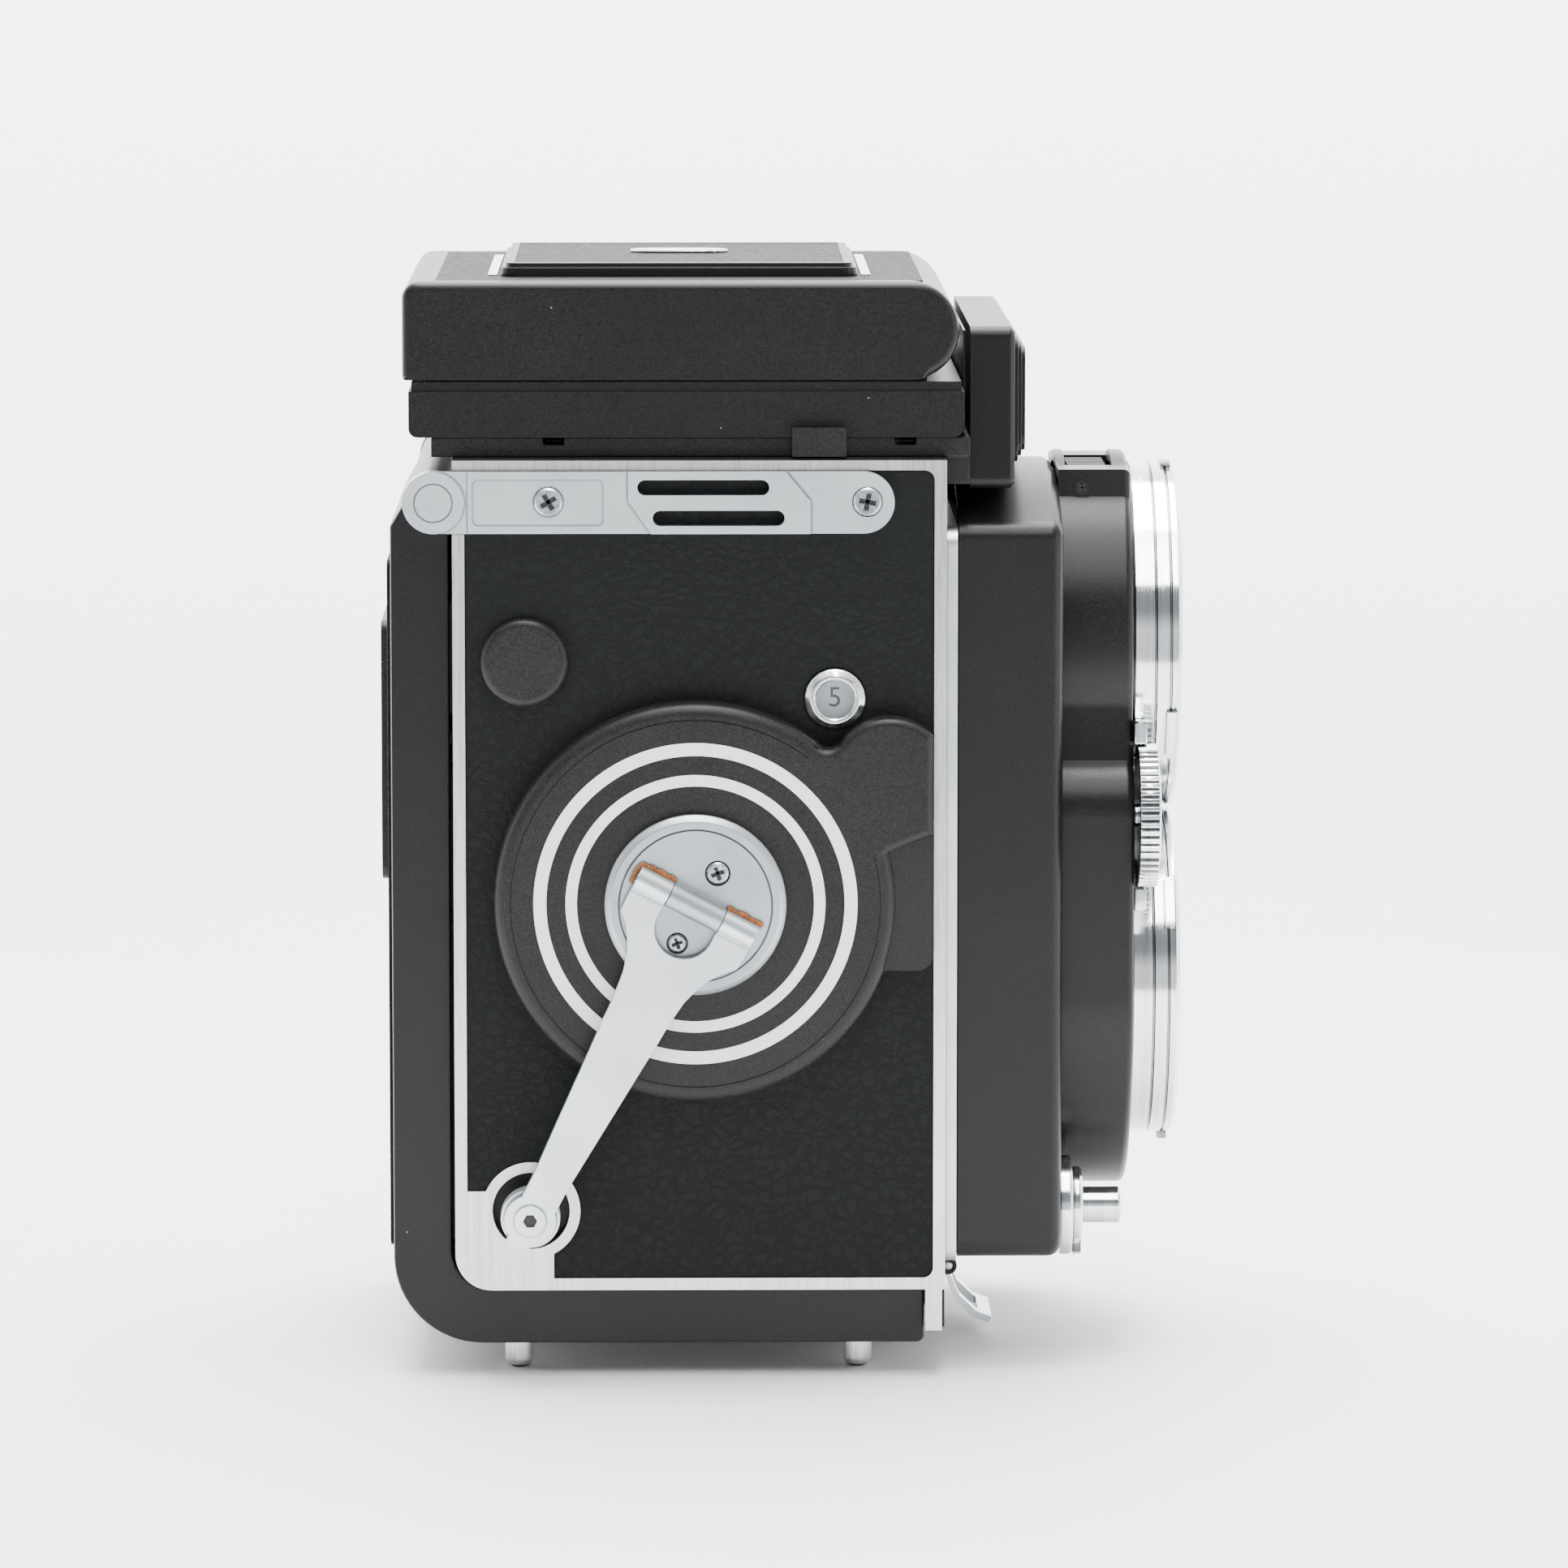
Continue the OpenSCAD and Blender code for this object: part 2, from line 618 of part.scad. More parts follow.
// Outline of the housing's lobe: a round towards the counter, filleted into the housing
module lobe_outline() {
    u = lobe_at - [crank_y, crank_z];
    d = norm(u);
    // the fillet runs a little into both rounds, so that no edge thins out to nothing
    r_a = housing_r - 0.4 + lobe_fillet;
    r_b = lobe_r - 0.06 + lobe_fillet;
    along = (r_a * r_a - r_b * r_b + d * d) / (2 * d);
    off = sqrt(r_a * r_a - along * along);
    fillet_at = [crank_y, crank_z] + (u * along + [u[1], -u[0]] * off) / d;
    touch_a = [crank_y, crank_z] + (fillet_at - [crank_y, crank_z]) * (housing_r - 1) / r_a;
    touch_b = lobe_at + (fillet_at - lobe_at) * (lobe_r - 0.5) / r_b;
    inner = housing_r - 3.4;
    intersection() {
        union() {
            translate(lobe_at) circle(lobe_r);
            // from the round and the fillet to the housing, down to the step
            difference() {
                polygon([touch_a, fillet_at, touch_b, lobe_at, [lobe_front - 1, lobe_at[1]],
                    [lobe_front - 1, crank_z + 9.4], [crank_y - 25.1, crank_z + 6.6],
                    [crank_y - inner * cos(14), crank_z + inner * sin(14)],
                    [crank_y - inner * cos(33), crank_z + inner * sin(33)],
                    [crank_y - inner * cos(52), crank_z + inner * sin(52)]]);
                translate(fillet_at) circle(lobe_fillet);
            }
        }
        translate([lobe_front, crank_z]) square([60, 60]);
    }
}
lobe_r = 7.6;
lobe_at = [crank_y - 25.4, crank_z + 16.8];
lobe_fillet = 2.6;
lobe_front = leather_edges[0] + 0.2;

// Round crank housing with a lobe that runs forward over the counter's drive
module crank_housing() {
    edge = 1.8;
    step = 1;
    color("#242527") difference() {
        union() {
            difference() {
                on_crank_side(leather_x, [crank_y, crank_z]) rotate_extrude()
                    rounded(0, 0, housing_r, housing_t, edge * [0, 0, 1, 0]);
                // seam near the rim
                on_crank_side(housing_x - 0.2, [crank_y, crank_z]) difference() {
                    cylinder(r = housing_r - 2.1, h = 1);
                    translate([0, 0, -1]) cylinder(r = housing_r - 2.3, h = 3);
                }
            }
            across(-housing_x, -leather_x) lobe_outline();
            across(-housing_x + step, -leather_x)
                rounded(lobe_front, crank_z - 9, crank_y - 12, crank_z + 10, [2, 0, 0, 0]);
        }
        on_crank_side(leather_x - 1, [crank_y, crank_z]) cylinder(r = hub_bore_r, h = housing_t + 2);
        on_crank_side(housing_x - 0.3, [crank_y, crank_z]) for (r = trim_rings) difference() {
            cylinder(r = r[0], h = 1);
            translate([0, 0, -1]) cylinder(r = r[1], h = 3);
        }
    }
}
trim_rings = [[21.2, 19.5], [17, 15.5]];

module crank_trim_rings() {
    color("#d6d7d8") on_crank_side(housing_x - 0.3, [crank_y, crank_z]) for (r = trim_rings)
        difference() {
            cylinder(r = r[0], h = ring_x - housing_x + 0.3);
            translate([0, 0, -1]) cylinder(r = r[1], h = 3);
        }
}

module spool_port_cap() {
    edge = 1.1;
    cap_t = 1.8;
    cap_r = 5.8;
    color("#242527") on_crank_side(leather_x, take_up) rotate_extrude()
        rounded(0, 0, cap_r, cap_t, edge * [0, 0, 1, 0]);
}

module counter_bezel() {
    color("#d9dadb") on_crank_side(body_half, counter) rotate_extrude() polygon([
        [counter_glass_r, 0], [counter_r, 0], [counter_r, 1.5], [counter_r - 0.9, 2.3],
        [counter_glass_r + 0.3, 2.3], [counter_glass_r, 2]]);
}

module counter_window() {
    color("#dfe6ea", 0.4) on_crank_side(body_half + 1.3, counter) cylinder(r = counter_glass_r, h = 0.4);
}

module counter_dial() {
    at = [counter[0], counter[1] - dial_offset];
    color("#c8cacc") on_crank_side(body_half - dial_t - 0.1, at)
        difference() {
            cylinder(r = dial_r, h = dial_t);
            translate([0, 0, -1]) cylinder(r = dial_pin_r + running, h = 3);
        }
}

module front_guard() {
    color("#cfd1d2") ahead(-body_front, guard_t) difference() {
        rounded(-guard_half, opening_z[0] - 2, guard_half, opening_z[1] + 1.8, 2.5 * [1, 1, 1, 1]);
        rounded(-opening_half, opening_z[0], opening_half, opening_z[1], [0, 0, 0, 0]);
    }
}

module film_gate() {
    color("#3a3b3d") ahead(body_rear + 0.9, 0.9) difference() {
        rounded(-31, 12.4, 31, take_z + frame_half + 4, [1, 1, 1, 1]);
        rounded(-frame_half, take_z - frame_half, frame_half, take_z + frame_half, [0, 0, 0, 0]);
    }
}

module reflex_mirror() {
    mirror_t = 1.5;
    color("#aeb6bc") across(-30, 30) polygon([[-25.5, 72.6], [17, 115.1], [17 - mirror_t, 115.1 + mirror_t],
        [-25.5 - mirror_t, 72.6 + mirror_t]]);
}

module focusing_screen() {
    color("#e8ecec") translate([-29, screen[0], body_top + 0.1]) cube([58, screen[1] - screen[0], 1.6]);
}

// ---------------------------------------------------------------- hood mount, frame and name block

module hood_mount() {
    color("#1f2022") difference() {
        union() {
            translate([-mount_half, mount_front, body_top])
                cube([2 * mount_half, mount_rear - mount_front, mount_top - body_top]);
            // lip that hooks over the body's front edge
            translate([-mount_half + 1, mount_front, 113.8])
                cube([2 * mount_half - 2, -mount_front - body_front, body_top - 113.8 + 1]);
        }
        translate([-29, screen[0], body_top - 1]) cube([58, screen[1] - screen[0], 5]);
        ahead(-body_front, 10) translate([0, arch_z]) circle(arch_r + 0.6, $fn = 256);
        for (y = [14, -32]) translate([-mount_half - 1, y, mount_top - 1])
            cube([2 * mount_half + 2, 2.7, 2]);
    }
}

module hood_frame() {
    inner_half = hood_half - 4;
    color("#222325") {
        difference() {
            across(-hood_half, hood_half)
                rounded(hood_front, mount_top, hood_rear, frame_top - 1.5, [1.6, 1.2, 0, 0]);
            translate([-inner_half, hood_front + 5, mount_top - 1])
                cube([2 * inner_half, hood_rear - hood_front - 9, 20]);
        }
        // upper ledge that the lid closes on
        difference() {
            translate([-hood_half + 0.4, hood_front + 0.4, frame_top - 1.5 - eps])
                cube([2 * hood_half - 0.8, hood_rear - hood_front - 0.8, 1.3]);
            translate([-inner_half, hood_front + 5, mount_top - 1])
                cube([2 * inner_half, hood_rear - hood_front - 9, 20]);
        }
        // ears that carry the lid
        for (side = [0, 1]) mirror([side, 0, 0]) difference() {
            across(ear_x[0], ear_x[1]) {
                translate(lid_pivot) circle(ear_half);
                translate([lid_pivot[0] - ear_half, frame_top - 2]) square([2 * ear_half, lid_end_r + 2]);
            }
            across(ear_x[0] - 1, ear_x[1] + 1) translate(lid_pivot) circle(lid_pin_r);
        }
    }
}

module hood_catch() {
    catch_y = [-22.9, -15.8];
    across(-mount_half - 2.4, -mount_half - free_gap) translate([catch_y[0], body_top + 0.3])
        square([catch_y[1] - catch_y[0], mount_top - body_top - 0.6]);
    across(-mount_half - 2.4, -mount_half - 1.4) translate([catch_y[0], body_top + 0.2])
        square([catch_y[1] - catch_y[0], 3.8]);
}
module hood_catch_right() { color("#1c1d1f") hood_catch(); }
module hood_catch_left() { color("#1c1d1f") mirror([1, 0, 0]) hood_catch(); }

module name_block() {
    half = 32;
    color("#222325") difference() {
        hull() for (x = [-half + 1.5, half - 1.5], z = [name_bottom + 1.5, name_top - 1.5])
            on_front(mount_front, [x, z]) turned(1.5, mount_front - name_front, 0.6);
        ahead(mount_front + 1, 20) translate([0, arch_z]) circle(arch_r + 0.6, $fn = 256);
    }
}

module name_plate() {
    half = 30;
    color("#1c1d1f") for (i = [0:2])
        ahead(name_front - i * 0.5, 0.5)
            rounded(-half + i * 0.7, 116.3 + i * 0.7, half - i * 0.7, 132.8 - i * 0.7, 2 * [1, 1, 1, 1]);
}

// ---------------------------------------------------------------- lens standard

module lens_standard() {
    color("#2a2b2d") {
        difference() {
            ahead(standard_y, standard_d) standard_outline(0);
            ahead(standard_y + 1, standard_d - standard_wall + 1) standard_outline(standard_wall);
            ahead(standard_face + 5, 10) {
                translate([0, view_z]) circle(18);
                translate([0, take_z]) circle(20);
                translate(release) circle(plunger_r + running);
            }
        }
        // rear flange and sleeve that keeps the light out as the standard moves
        difference() {
            ahead(sleeve_rear, sleeve_rear - standard_y + 0.5) rounded(-opening_half + sleeve_gap,
                opening_z[0] + sleeve_gap, opening_half - sleeve_gap, opening_z[1] - sleeve_gap, [0, 0, 0, 0]);
            ahead(sleeve_rear + 1, 30) rounded(-opening_half + sleeve_gap + 1, opening_z[0] + sleeve_gap + 1,
                opening_half - sleeve_gap - 1, opening_z[1] - sleeve_gap - 1, [0, 0, 0, 0]);
        }
        difference() {
            ahead(standard_y, 1.2) rounded(-standard_half + 1, opening_z[0] - 1, standard_half - 1,
                opening_z[1] + 0.4, [0, 0, 0, 0]);
            ahead(sleeve_rear + 1, 30) rounded(-opening_half + sleeve_gap + 1, opening_z[0] + sleeve_gap + 1,
                opening_half - sleeve_gap - 1, opening_z[1] - sleeve_gap - 1, [0, 0, 0, 0]);
        }
    }
}

module lens_cover() {
    color("#26272a") difference() {
        ahead(standard_face, cover_d) cover_outline(0);
        ahead(standard_face + 1, cover_d - standard_wall + 1) cover_outline(standard_wall);
        ahead(cover_face + 5, 10) {
            translate([0, view_z]) circle(view_hole_r);
            translate([0, take_z]) circle(17.5);
        }
        // settings window in the top
        translate([-window_slot[0], cover_face + 2.2, arch_top - 1.2])
            cube([2 * window_slot[0], cover_d - 3.4, 3]);
    }
    // pocket under the settings window
    color("#26272a") translate([-window_half + 2, cover_face + 1.2, arch_top - 3.2])
        cube([2 * window_half - 4, cover_d - 2.4, 1]);
}

// A lens barrel: base, two grooves, bayonet rim with lugs, and a stepped throat
module barrel(z, r, throat, lugs) {
    grip = 0.35;
    color("#c4c7c9") {
        on_front(cover_face, [0, z]) rotate_extrude() polygon([
            [throat, 0], [r - 0.5, 0], [r - 0.5, 0.4], [r, 0.4], [r, 2.9], [r - grip, 3], [r - grip, 3.2],
            [r, 3.3], [r, 4.9], [r - grip, 5], [r - grip, 5.2], [r - 0.1, 5.3], [r - 0.1, barrel_l - 0.5],
            [r - 0.6, barrel_l], [r - 2.2, barrel_l], [r - 2.6, barrel_l - 1.6],
            [throat + 1.5, barrel_l - 1.6], [throat, barrel_l - 3]]);
        for (a = lugs) on_front(cover_face - 4.6, [0, z]) rotate(a) rotate_extrude(angle = 18)
            translate([r - 0.6, 0]) square([1.5, 1.3]);
    }
}
module viewing_barrel() { barrel(view_z, view_r, 15, [81, 200, 320]); }
module taking_barrel() { barrel(take_z, take_r, 15.5, [261, 20, 140]); }

// A lens element with a shallow domed front
module lens_glass(z, r, dome) {
    sphere_r = (r * r + dome * dome) / (2 * dome);
    color("#5a6470", 0.55) on_front(cover_face + 1.5, [0, z]) intersection() {
        cylinder(r = r, h = 6);
        translate([0, 0, 2 + dome - sphere_r]) sphere(sphere_r, $fn = 128);
    }
}
module lens_glasses() {
    lens_glass(view_z, 15, 1.6);
    lens_glass(take_z, 15.5, 2.2);
}

module shutter_case() {
    reach = case_l - standard_wall;
    color("#1f2022") {
        on_front(cover_face + case_l, [0, take_z]) rotate_extrude() polygon([[10, 0], [16, 0], [16, 6],
            [19, 6], [19, reach], [15.8, reach], [12, reach - 2.5], [10, 8]]);
        on_front(cover_face + case_l, [0, view_z]) rotate_extrude() polygon([[12, 4], [15, 4],
            [15, reach - 1], [view_hole_r + 1.5, reach - 1], [view_hole_r + 1.5, reach], [13, reach],
            [12, 14]]);
    }
}

module wheel_guards() {
    color("#d0d2d3") for (side = [0, 1]) mirror([side, 0, 0]) ahead(cover_face, guard_plate_t)
        difference() {
            intersection() {
                translate([-wheel_x, wheel_z]) circle(wheel_r + 3.2);
                translate([-wheel_x - 1.8, wheel_z - 20]) square([9, 40]);
            }
            translate([-wheel_x, wheel_z]) circle(wheel_r + free_gap);
            translate([0, view_z]) circle(view_r + 0.1);
            translate([0, take_z]) circle(take_r + 0.1);
        }
    // axles of the two wheels
    color("#9a9ca0") for (x = [-wheel_x, wheel_x]) on_front(cover_face, [x, wheel_z])
        cylinder(r = 1.5, h = wheel_t + 0.8);
}

module exposure_wheel(x) {
    difference() {
        union() {
            ahead(wheel_y, wheel_t) translate([x, wheel_z]) grips(wheel_r, wheel_grips, 0.4);
            on_front(wheel_y - wheel_t + 0.01, [x, wheel_z]) turned(wheel_r - 2, 0.3, 0.2);
        }
        on_front(cover_face + 1, [x, wheel_z]) cylinder(r = 1.5 + running, h = 10);
    }
}
module aperture_wheel() { color("#c9cbcd") exposure_wheel(wheel_x); }
module shutter_wheel() { color("#c9cbcd") exposure_wheel(-wheel_x); }

module release_collar() {
    color("#cdcfd0") on_front(standard_face, release) turned(6.6, 1.7, 0.3, plunger_r + running);
}

// Turning lock ring with a serrated thumb tab
module release_lock() {
    color("#d3d5d6") on_front(standard_face - 1.75, release) difference() {
        union() {
            turned(5.1, 1.3, 0.3, 0);
            for (i = [0:4]) rotate(-90 - 16 + i * 8) translate([4.4, -0.35, 0.1])
                cube([2.3 - abs(i - 2) * 0.15, 0.7, 1.1]);
            rotate(-90) translate([4, -1.8, 0]) cube([2, 3.6, 1]);
        }
        translate([0, 0, -1]) cylinder(r = plunger_r + 2 * running, h = 4);
    }
}

module release_button() {
    inner = plunger_travel + 3.5;
    color("#d8dadb") on_front(standard_face + inner, release) {
        turned(plunger_r, inner + plunger_l, 0.3, cable_r);
        turned(plunger_r, inner + plunger_l - cable_depth, 0, 0);
    }
}

module flash_socket() {
    color("#cdcfd0") on_front(standard_face, [-release[0], release[1]]) {
        turned(6, 1.7, 0.3, 1.6);
        turned(3, 4.4, 0.3, 2.1);
        turned(0.5, 3.4, 0.1, 0);
    }
    color("#1f2022") on_front(standard_face, [-release[0], release[1]]) turned(1.6, 1.2, 0.1, 0.5);
}

// ---------------------------------------------------------------- crank and wind train

// Shaft, hub and the hub's own knuckle on the fold axis
module crank_hub() {
    color("#c6c8ca") {
        on_crank_side(gear_x0 + gear_face, [crank_y, crank_z])
            cylinder(r = shaft_r, h = hub_x0 - gear_x0 - gear_face + eps);
        on_crank_side(gear_x0, [crank_y, crank_z]) cylinder(r = 3, h = gear_face + eps);
        on_crank_side(hub_x0, [crank_y, crank_z]) difference() {
            turned(hub_r, hub_x1 - hub_x0, 0.8);
            // seam between the rim and the inner disc
            translate([0, 0, hub_x1 - hub_x0 - 0.25]) difference() {
                cylinder(r = 10.1, h = 1);
                translate([0, 0, -1]) cylinder(r = 9.9, h = 3);
            }
            for (p = hub_screws) translate([p[0], p[1], hub_x1 - hub_x0 - 0.5])
                cylinder(r = p[2] + 0.15, h = 1);
        }
        translate([0, crank_y, crank_z]) rotate([crank_angle, 0, 0]) difference() {
            union() {
                translate([-fold_x, -fold_knuckle / 2, 0]) rotate([-90, 0, 0])
                    cylinder(r = fold_r, h = fold_knuckle);
                translate([-fold_x, -fold_knuckle / 2, -1.1])
                    cube([fold_x - hub_x1 + eps, fold_knuckle, 2.2]);
            }
            translate([-fold_x, -fold_knuckle, 0]) rotate([-90, 0, 0])
                cylinder(r = fold_pin_r, h = 2 * fold_knuckle);
        }
    }
}
// Screws in the hub: height above its axis, distance behind it and radius of the head
hub_screws = [[4.3, -2.9, 1.5], [-4.9, 2.4, 1.25]];

module crank_gear() { color("#a98f4e") wind_gear([crank_y, crank_z], crank_teeth, 3, 0); }

// Heads of the hub's two screws, and the fold pin
module crank_screws() {
    color("#8f9194") {
        on_crank_side(hub_x1 - 0.5, [crank_y, crank_z]) for (p = hub_screws)
            translate([p[0], p[1], 0]) screw_head(p[2], 0.7, 20);
        translate([0, crank_y, crank_z]) rotate([crank_angle, 0, 0])
            translate([-fold_x, -fold_len / 2 + 0.3, 0]) rotate([-90, 0, 0])
            cylinder(r = fold_pin_r, h = fold_len - 0.6);
    }
}

// Folding arm: two knuckles, wide shoulders that narrow to the boss, and a finger tab
module crank_arm() {
    half = fold_len / 2;
    waist = [[3, half], [4.8, half - 0.1], [6.2, 7], [7.6, 6.1], [9.4, 5.2], [11.8, 4.5], [15, 4.1],
        [19, 3.9], [25, 3.5], [33, 3], [41, 2.45]];
    side_a = [for (p = waist) [p[0], p[1]]];
    side_b = [for (i = [len(waist) - 1:-1:0]) [waist[i][0], -waist[i][1]]];
    color("#c9cbcc") translate([0, crank_y, crank_z]) rotate([crank_angle, 0, 0]) difference() {
        union() {
            // plate, drawn with its length towards the knob
            translate([-arm_x0 - arm_t, 0, 0]) rotate([0, 90, 0]) linear_extrude(arm_t) difference() {
                union() {
                    polygon(concat([[0.4, half]], side_a, side_b, [[0.4, -half]]));
                    translate([crank_len, 0]) circle(knob_r - 0.5);
                    stadium([crank_len - 7, 0], [crank_len, 0], 2.45);
                    stadium([crank_len, 0], [crank_len + arm_tab - 1.6, 0], 1.6);
                }
                stadium([0, 0], [3.2, 0], arm_cut_r);
            }
            for (side = [-1, 1]) translate([-fold_x, side > 0 ? fold_knuckle / 2 + 0.1 : -half, 0])
                rotate([-90, 0, 0]) cylinder(r = fold_r, h = half - fold_knuckle / 2 - 0.1);
        }
        translate([-fold_x, -half - 1, 0]) rotate([-90, 0, 0])
            cylinder(r = fold_pin_r + running, h = fold_len + 2);
        translate([-arm_x0 - arm_t - 1, 0, -crank_len]) rotate([0, 90, 0])
            cylinder(r = 1.6 + running, h = arm_t + 2);
    }
}

module crank_knob() {
    color("#bfc1c3") translate([0, crank_y, crank_z]) rotate([crank_angle, 0, 0])
        translate([-arm_x0 - arm_t - 0.3, 0, -crank_len]) rotate([0, 90, 0]) difference() {
            union() {
                cylinder(r = 1.6, h = arm_x0 + arm_t + 0.3 - knob_x0);
                translate([0, 0, arm_t + 0.5]) rotate_extrude() polygon([[0, 0], [knob_r, 0],
                    [knob_r, arm_x0 - knob_x0 - 0.6], [knob_r - 0.4, arm_x0 - knob_x0 - 0.2],
                    [0, arm_x0 - knob_x0 - 0.2]]);
                cylinder(r = 2.1, h = 0.25);
            }
            translate([0, 0, -1]) cylinder(r = 0.9, h = 2, $fn = 6);
        }
}

module idler_gear() {
    color("#a98f4e") wind_gear(idler, idler_teeth, 1.5 + running, 180 / idler_teeth);
}

module take_up_gear() {
    color("#a98f4e") {
        wind_gear(take_up, take_up_teeth, 0, 180);
        across(-gear_x0, -spool_half + 2.6) translate(take_up) circle(key_r);
    }
}

module take_up_spool() {
    color("#2d2f31") difference() {
        union() {
            across(-spool_half, -spool_half + 1) translate(take_up) circle(spool_flange_r);
            across(spool_half - 1, spool_half) translate(take_up) circle(spool_flange_r);
            across(-spool_half, spool_half) translate(take_up) circle(spool_core_r);
        }
        across(-spool_half - 1, spool_half + 1) translate(take_up) circle(key_r + running);
        across(-20, 20) translate([take_up[0], take_up[1] - 0.4]) square([spool_core_r + 1, 0.8]);
    }
}

// ---------------------------------------------------------------- focusing side

module focus_knob() {
    color("#b7b9bb") {
        on_knob_side(30.5, [crank_y, crank_z]) cylinder(r = shaft_r, h = leather_x - 30.5 + 1);
        on_knob_side(leather_x + free_gap, [crank_y, crank_z]) {
            turned(focus_r + 1.4, 2.6, 0.8);
            linear_extrude(focus_h - 2.5) grips(focus_r, 72, 0.45);
            turned(focus_r - 0.9, focus_h - 1.5, 0.8);
            turned(focus_r - 4, focus_h - 0.6, 0.4);
        }
    }
}

module spool_knob(at) {
    color("#c9cbcc") {
        on_knob_side(leather_x + free_gap, at) {
            turned(spool_knob_r + 0.5, 1.2, 0.3);
            linear_extrude(5) grips(spool_knob_r, 32, 0.4);
            turned(spool_knob_r - 0.8, 6.2, 0.8);
        }
        on_knob_side(chamber_half + 0.3, at) cylinder(r = key_r + 1, h = leather_x - chamber_half);
        on_knob_side(spool_half - spool_pull + 2, at) cylinder(r = key_r - running, h = spool_pull);
    }
}
module spool_knobs_upper() { spool_knob(take_up); }
module spool_knobs_lower() { spool_knob(supply); }

// ---------------------------------------------------------------- back door

module back_door() {
    color("#27282a") difference() {
        across(-door_half, door_half) door_outline();
        // inside of the rear wall and the tray, open towards the body
        across(-door_half + door_wall, door_half - door_wall) {
            rounded(door_front + door_wall, door_wall, door_rear - door_wall, 60,
                [0, door_corner - door_wall, 0, 0]);
            rounded(door_inner - 1, 50, door_rear - door_wall, hinge_z - barrel_r - 1.5, [0, 0, 0, 0]);
        }
        across(-door_half - 1, door_half + 1) translate([hinge_y, hinge_z]) circle(pin_r + running);
        translate([0, 0, -1]) cylinder(r = 8, h = 5);
    }
}

// Tripod socket and the four feet
module door_fittings() {
    feet = [[-29, 20.4], [29, 20.4], [-29, -24.6], [29, -24.6]];
    color("#b9bbbd") {
        rotate_extrude() polygon([[socket_r, 0], [8, 0], [8, door_wall], [9.5, door_wall],
            [9.5, door_wall + 1], [6.4, socket_depth], [6.4, socket_depth + 0.8],
            [0, socket_depth + 0.8], [0, socket_depth], [socket_r, socket_depth]]);
        for (p = feet) translate([p[0], p[1], -foot_h]) {
            translate([0, 0, foot_r * 0.6]) cylinder(r = foot_r, h = foot_h - foot_r * 0.6);
            rotate_extrude() polygon([[0, 0], [foot_r * 0.5, 0], [foot_r * 0.85, foot_r * 0.2],
                [foot_r, foot_r * 0.6], [0, foot_r * 0.6]]);
        }
    }
}

module door_leather() {
    color("#1b1c1e") ahead(door_rear + 0.5, 0.5) difference() {
        rounded(-34, door_corner + 1, 34, hinge_z - 8, 1.5 * [1, 1, 1, 1]);
        rounded(-holder_half, holder[0], holder_half, holder[1], 2 * [1, 1, 1, 1]);
    }
}

// Frame on the door that holds a card of exposure values
module table_holder() {
    color("#2a2b2d") difference() {
        ahead(door_rear + 1.6, 1.6) rounded(-holder_half, holder[0], holder_half, holder[1],
            2 * [1, 1, 1, 1]);
        ahead(door_rear + 3, 2) rounded(-holder_half + 2.5, holder[0] + 2.5, holder_half - 2.5,
            holder[1] - 2.5, [1, 1, 1, 1]);
    }
}

module pressure_plate() {
    color("#3a3b3d") {
        ahead(body_rear + 2.6, 1) rounded(-30, 14, 30, take_z + frame_half + 2, [1, 1, 1, 1]);
        for (z = [26, 63]) on_front(door_rear - door_wall, [0, z])
            cylinder(r = 2.5, h = door_rear - door_wall - body_rear - 2.6 + eps);
    }
}

// Sprung tongue under the front edge, with a window in it
module door_latch() {
    half = latch_half;
    pivot = latch_pivot;
    color("#c4c6c8") {
        difference() {
            across(-half, half)
                polygon([[pivot[0] - 0.2, pivot[1] - 1.2], [pivot[0] - 1.6, pivot[1] - 4.4],
                    [pivot[0] - 3.9, pivot[1] - 6.6], [pivot[0] - 6, pivot[1] - 7.4],
                    [pivot[0] - 5.6, pivot[1] - 8.2], [pivot[0] - 3.4, pivot[1] - 7.5],
                    [pivot[0] - 0.9, pivot[1] - 5], [pivot[0] + 0.6, pivot[1] - 0.8]]);
            translate([-half + 2.5, pivot[0] - 4.2, -10]) cube([2 * half - 5, 3.4, 20]);
        }
        across(-half, half) difference() {
            translate(pivot) circle(latch_barrel_r);
            translate(pivot) circle(latch_pin_r + running);
        }
    }
}

// ---------------------------------------------------------------- hood

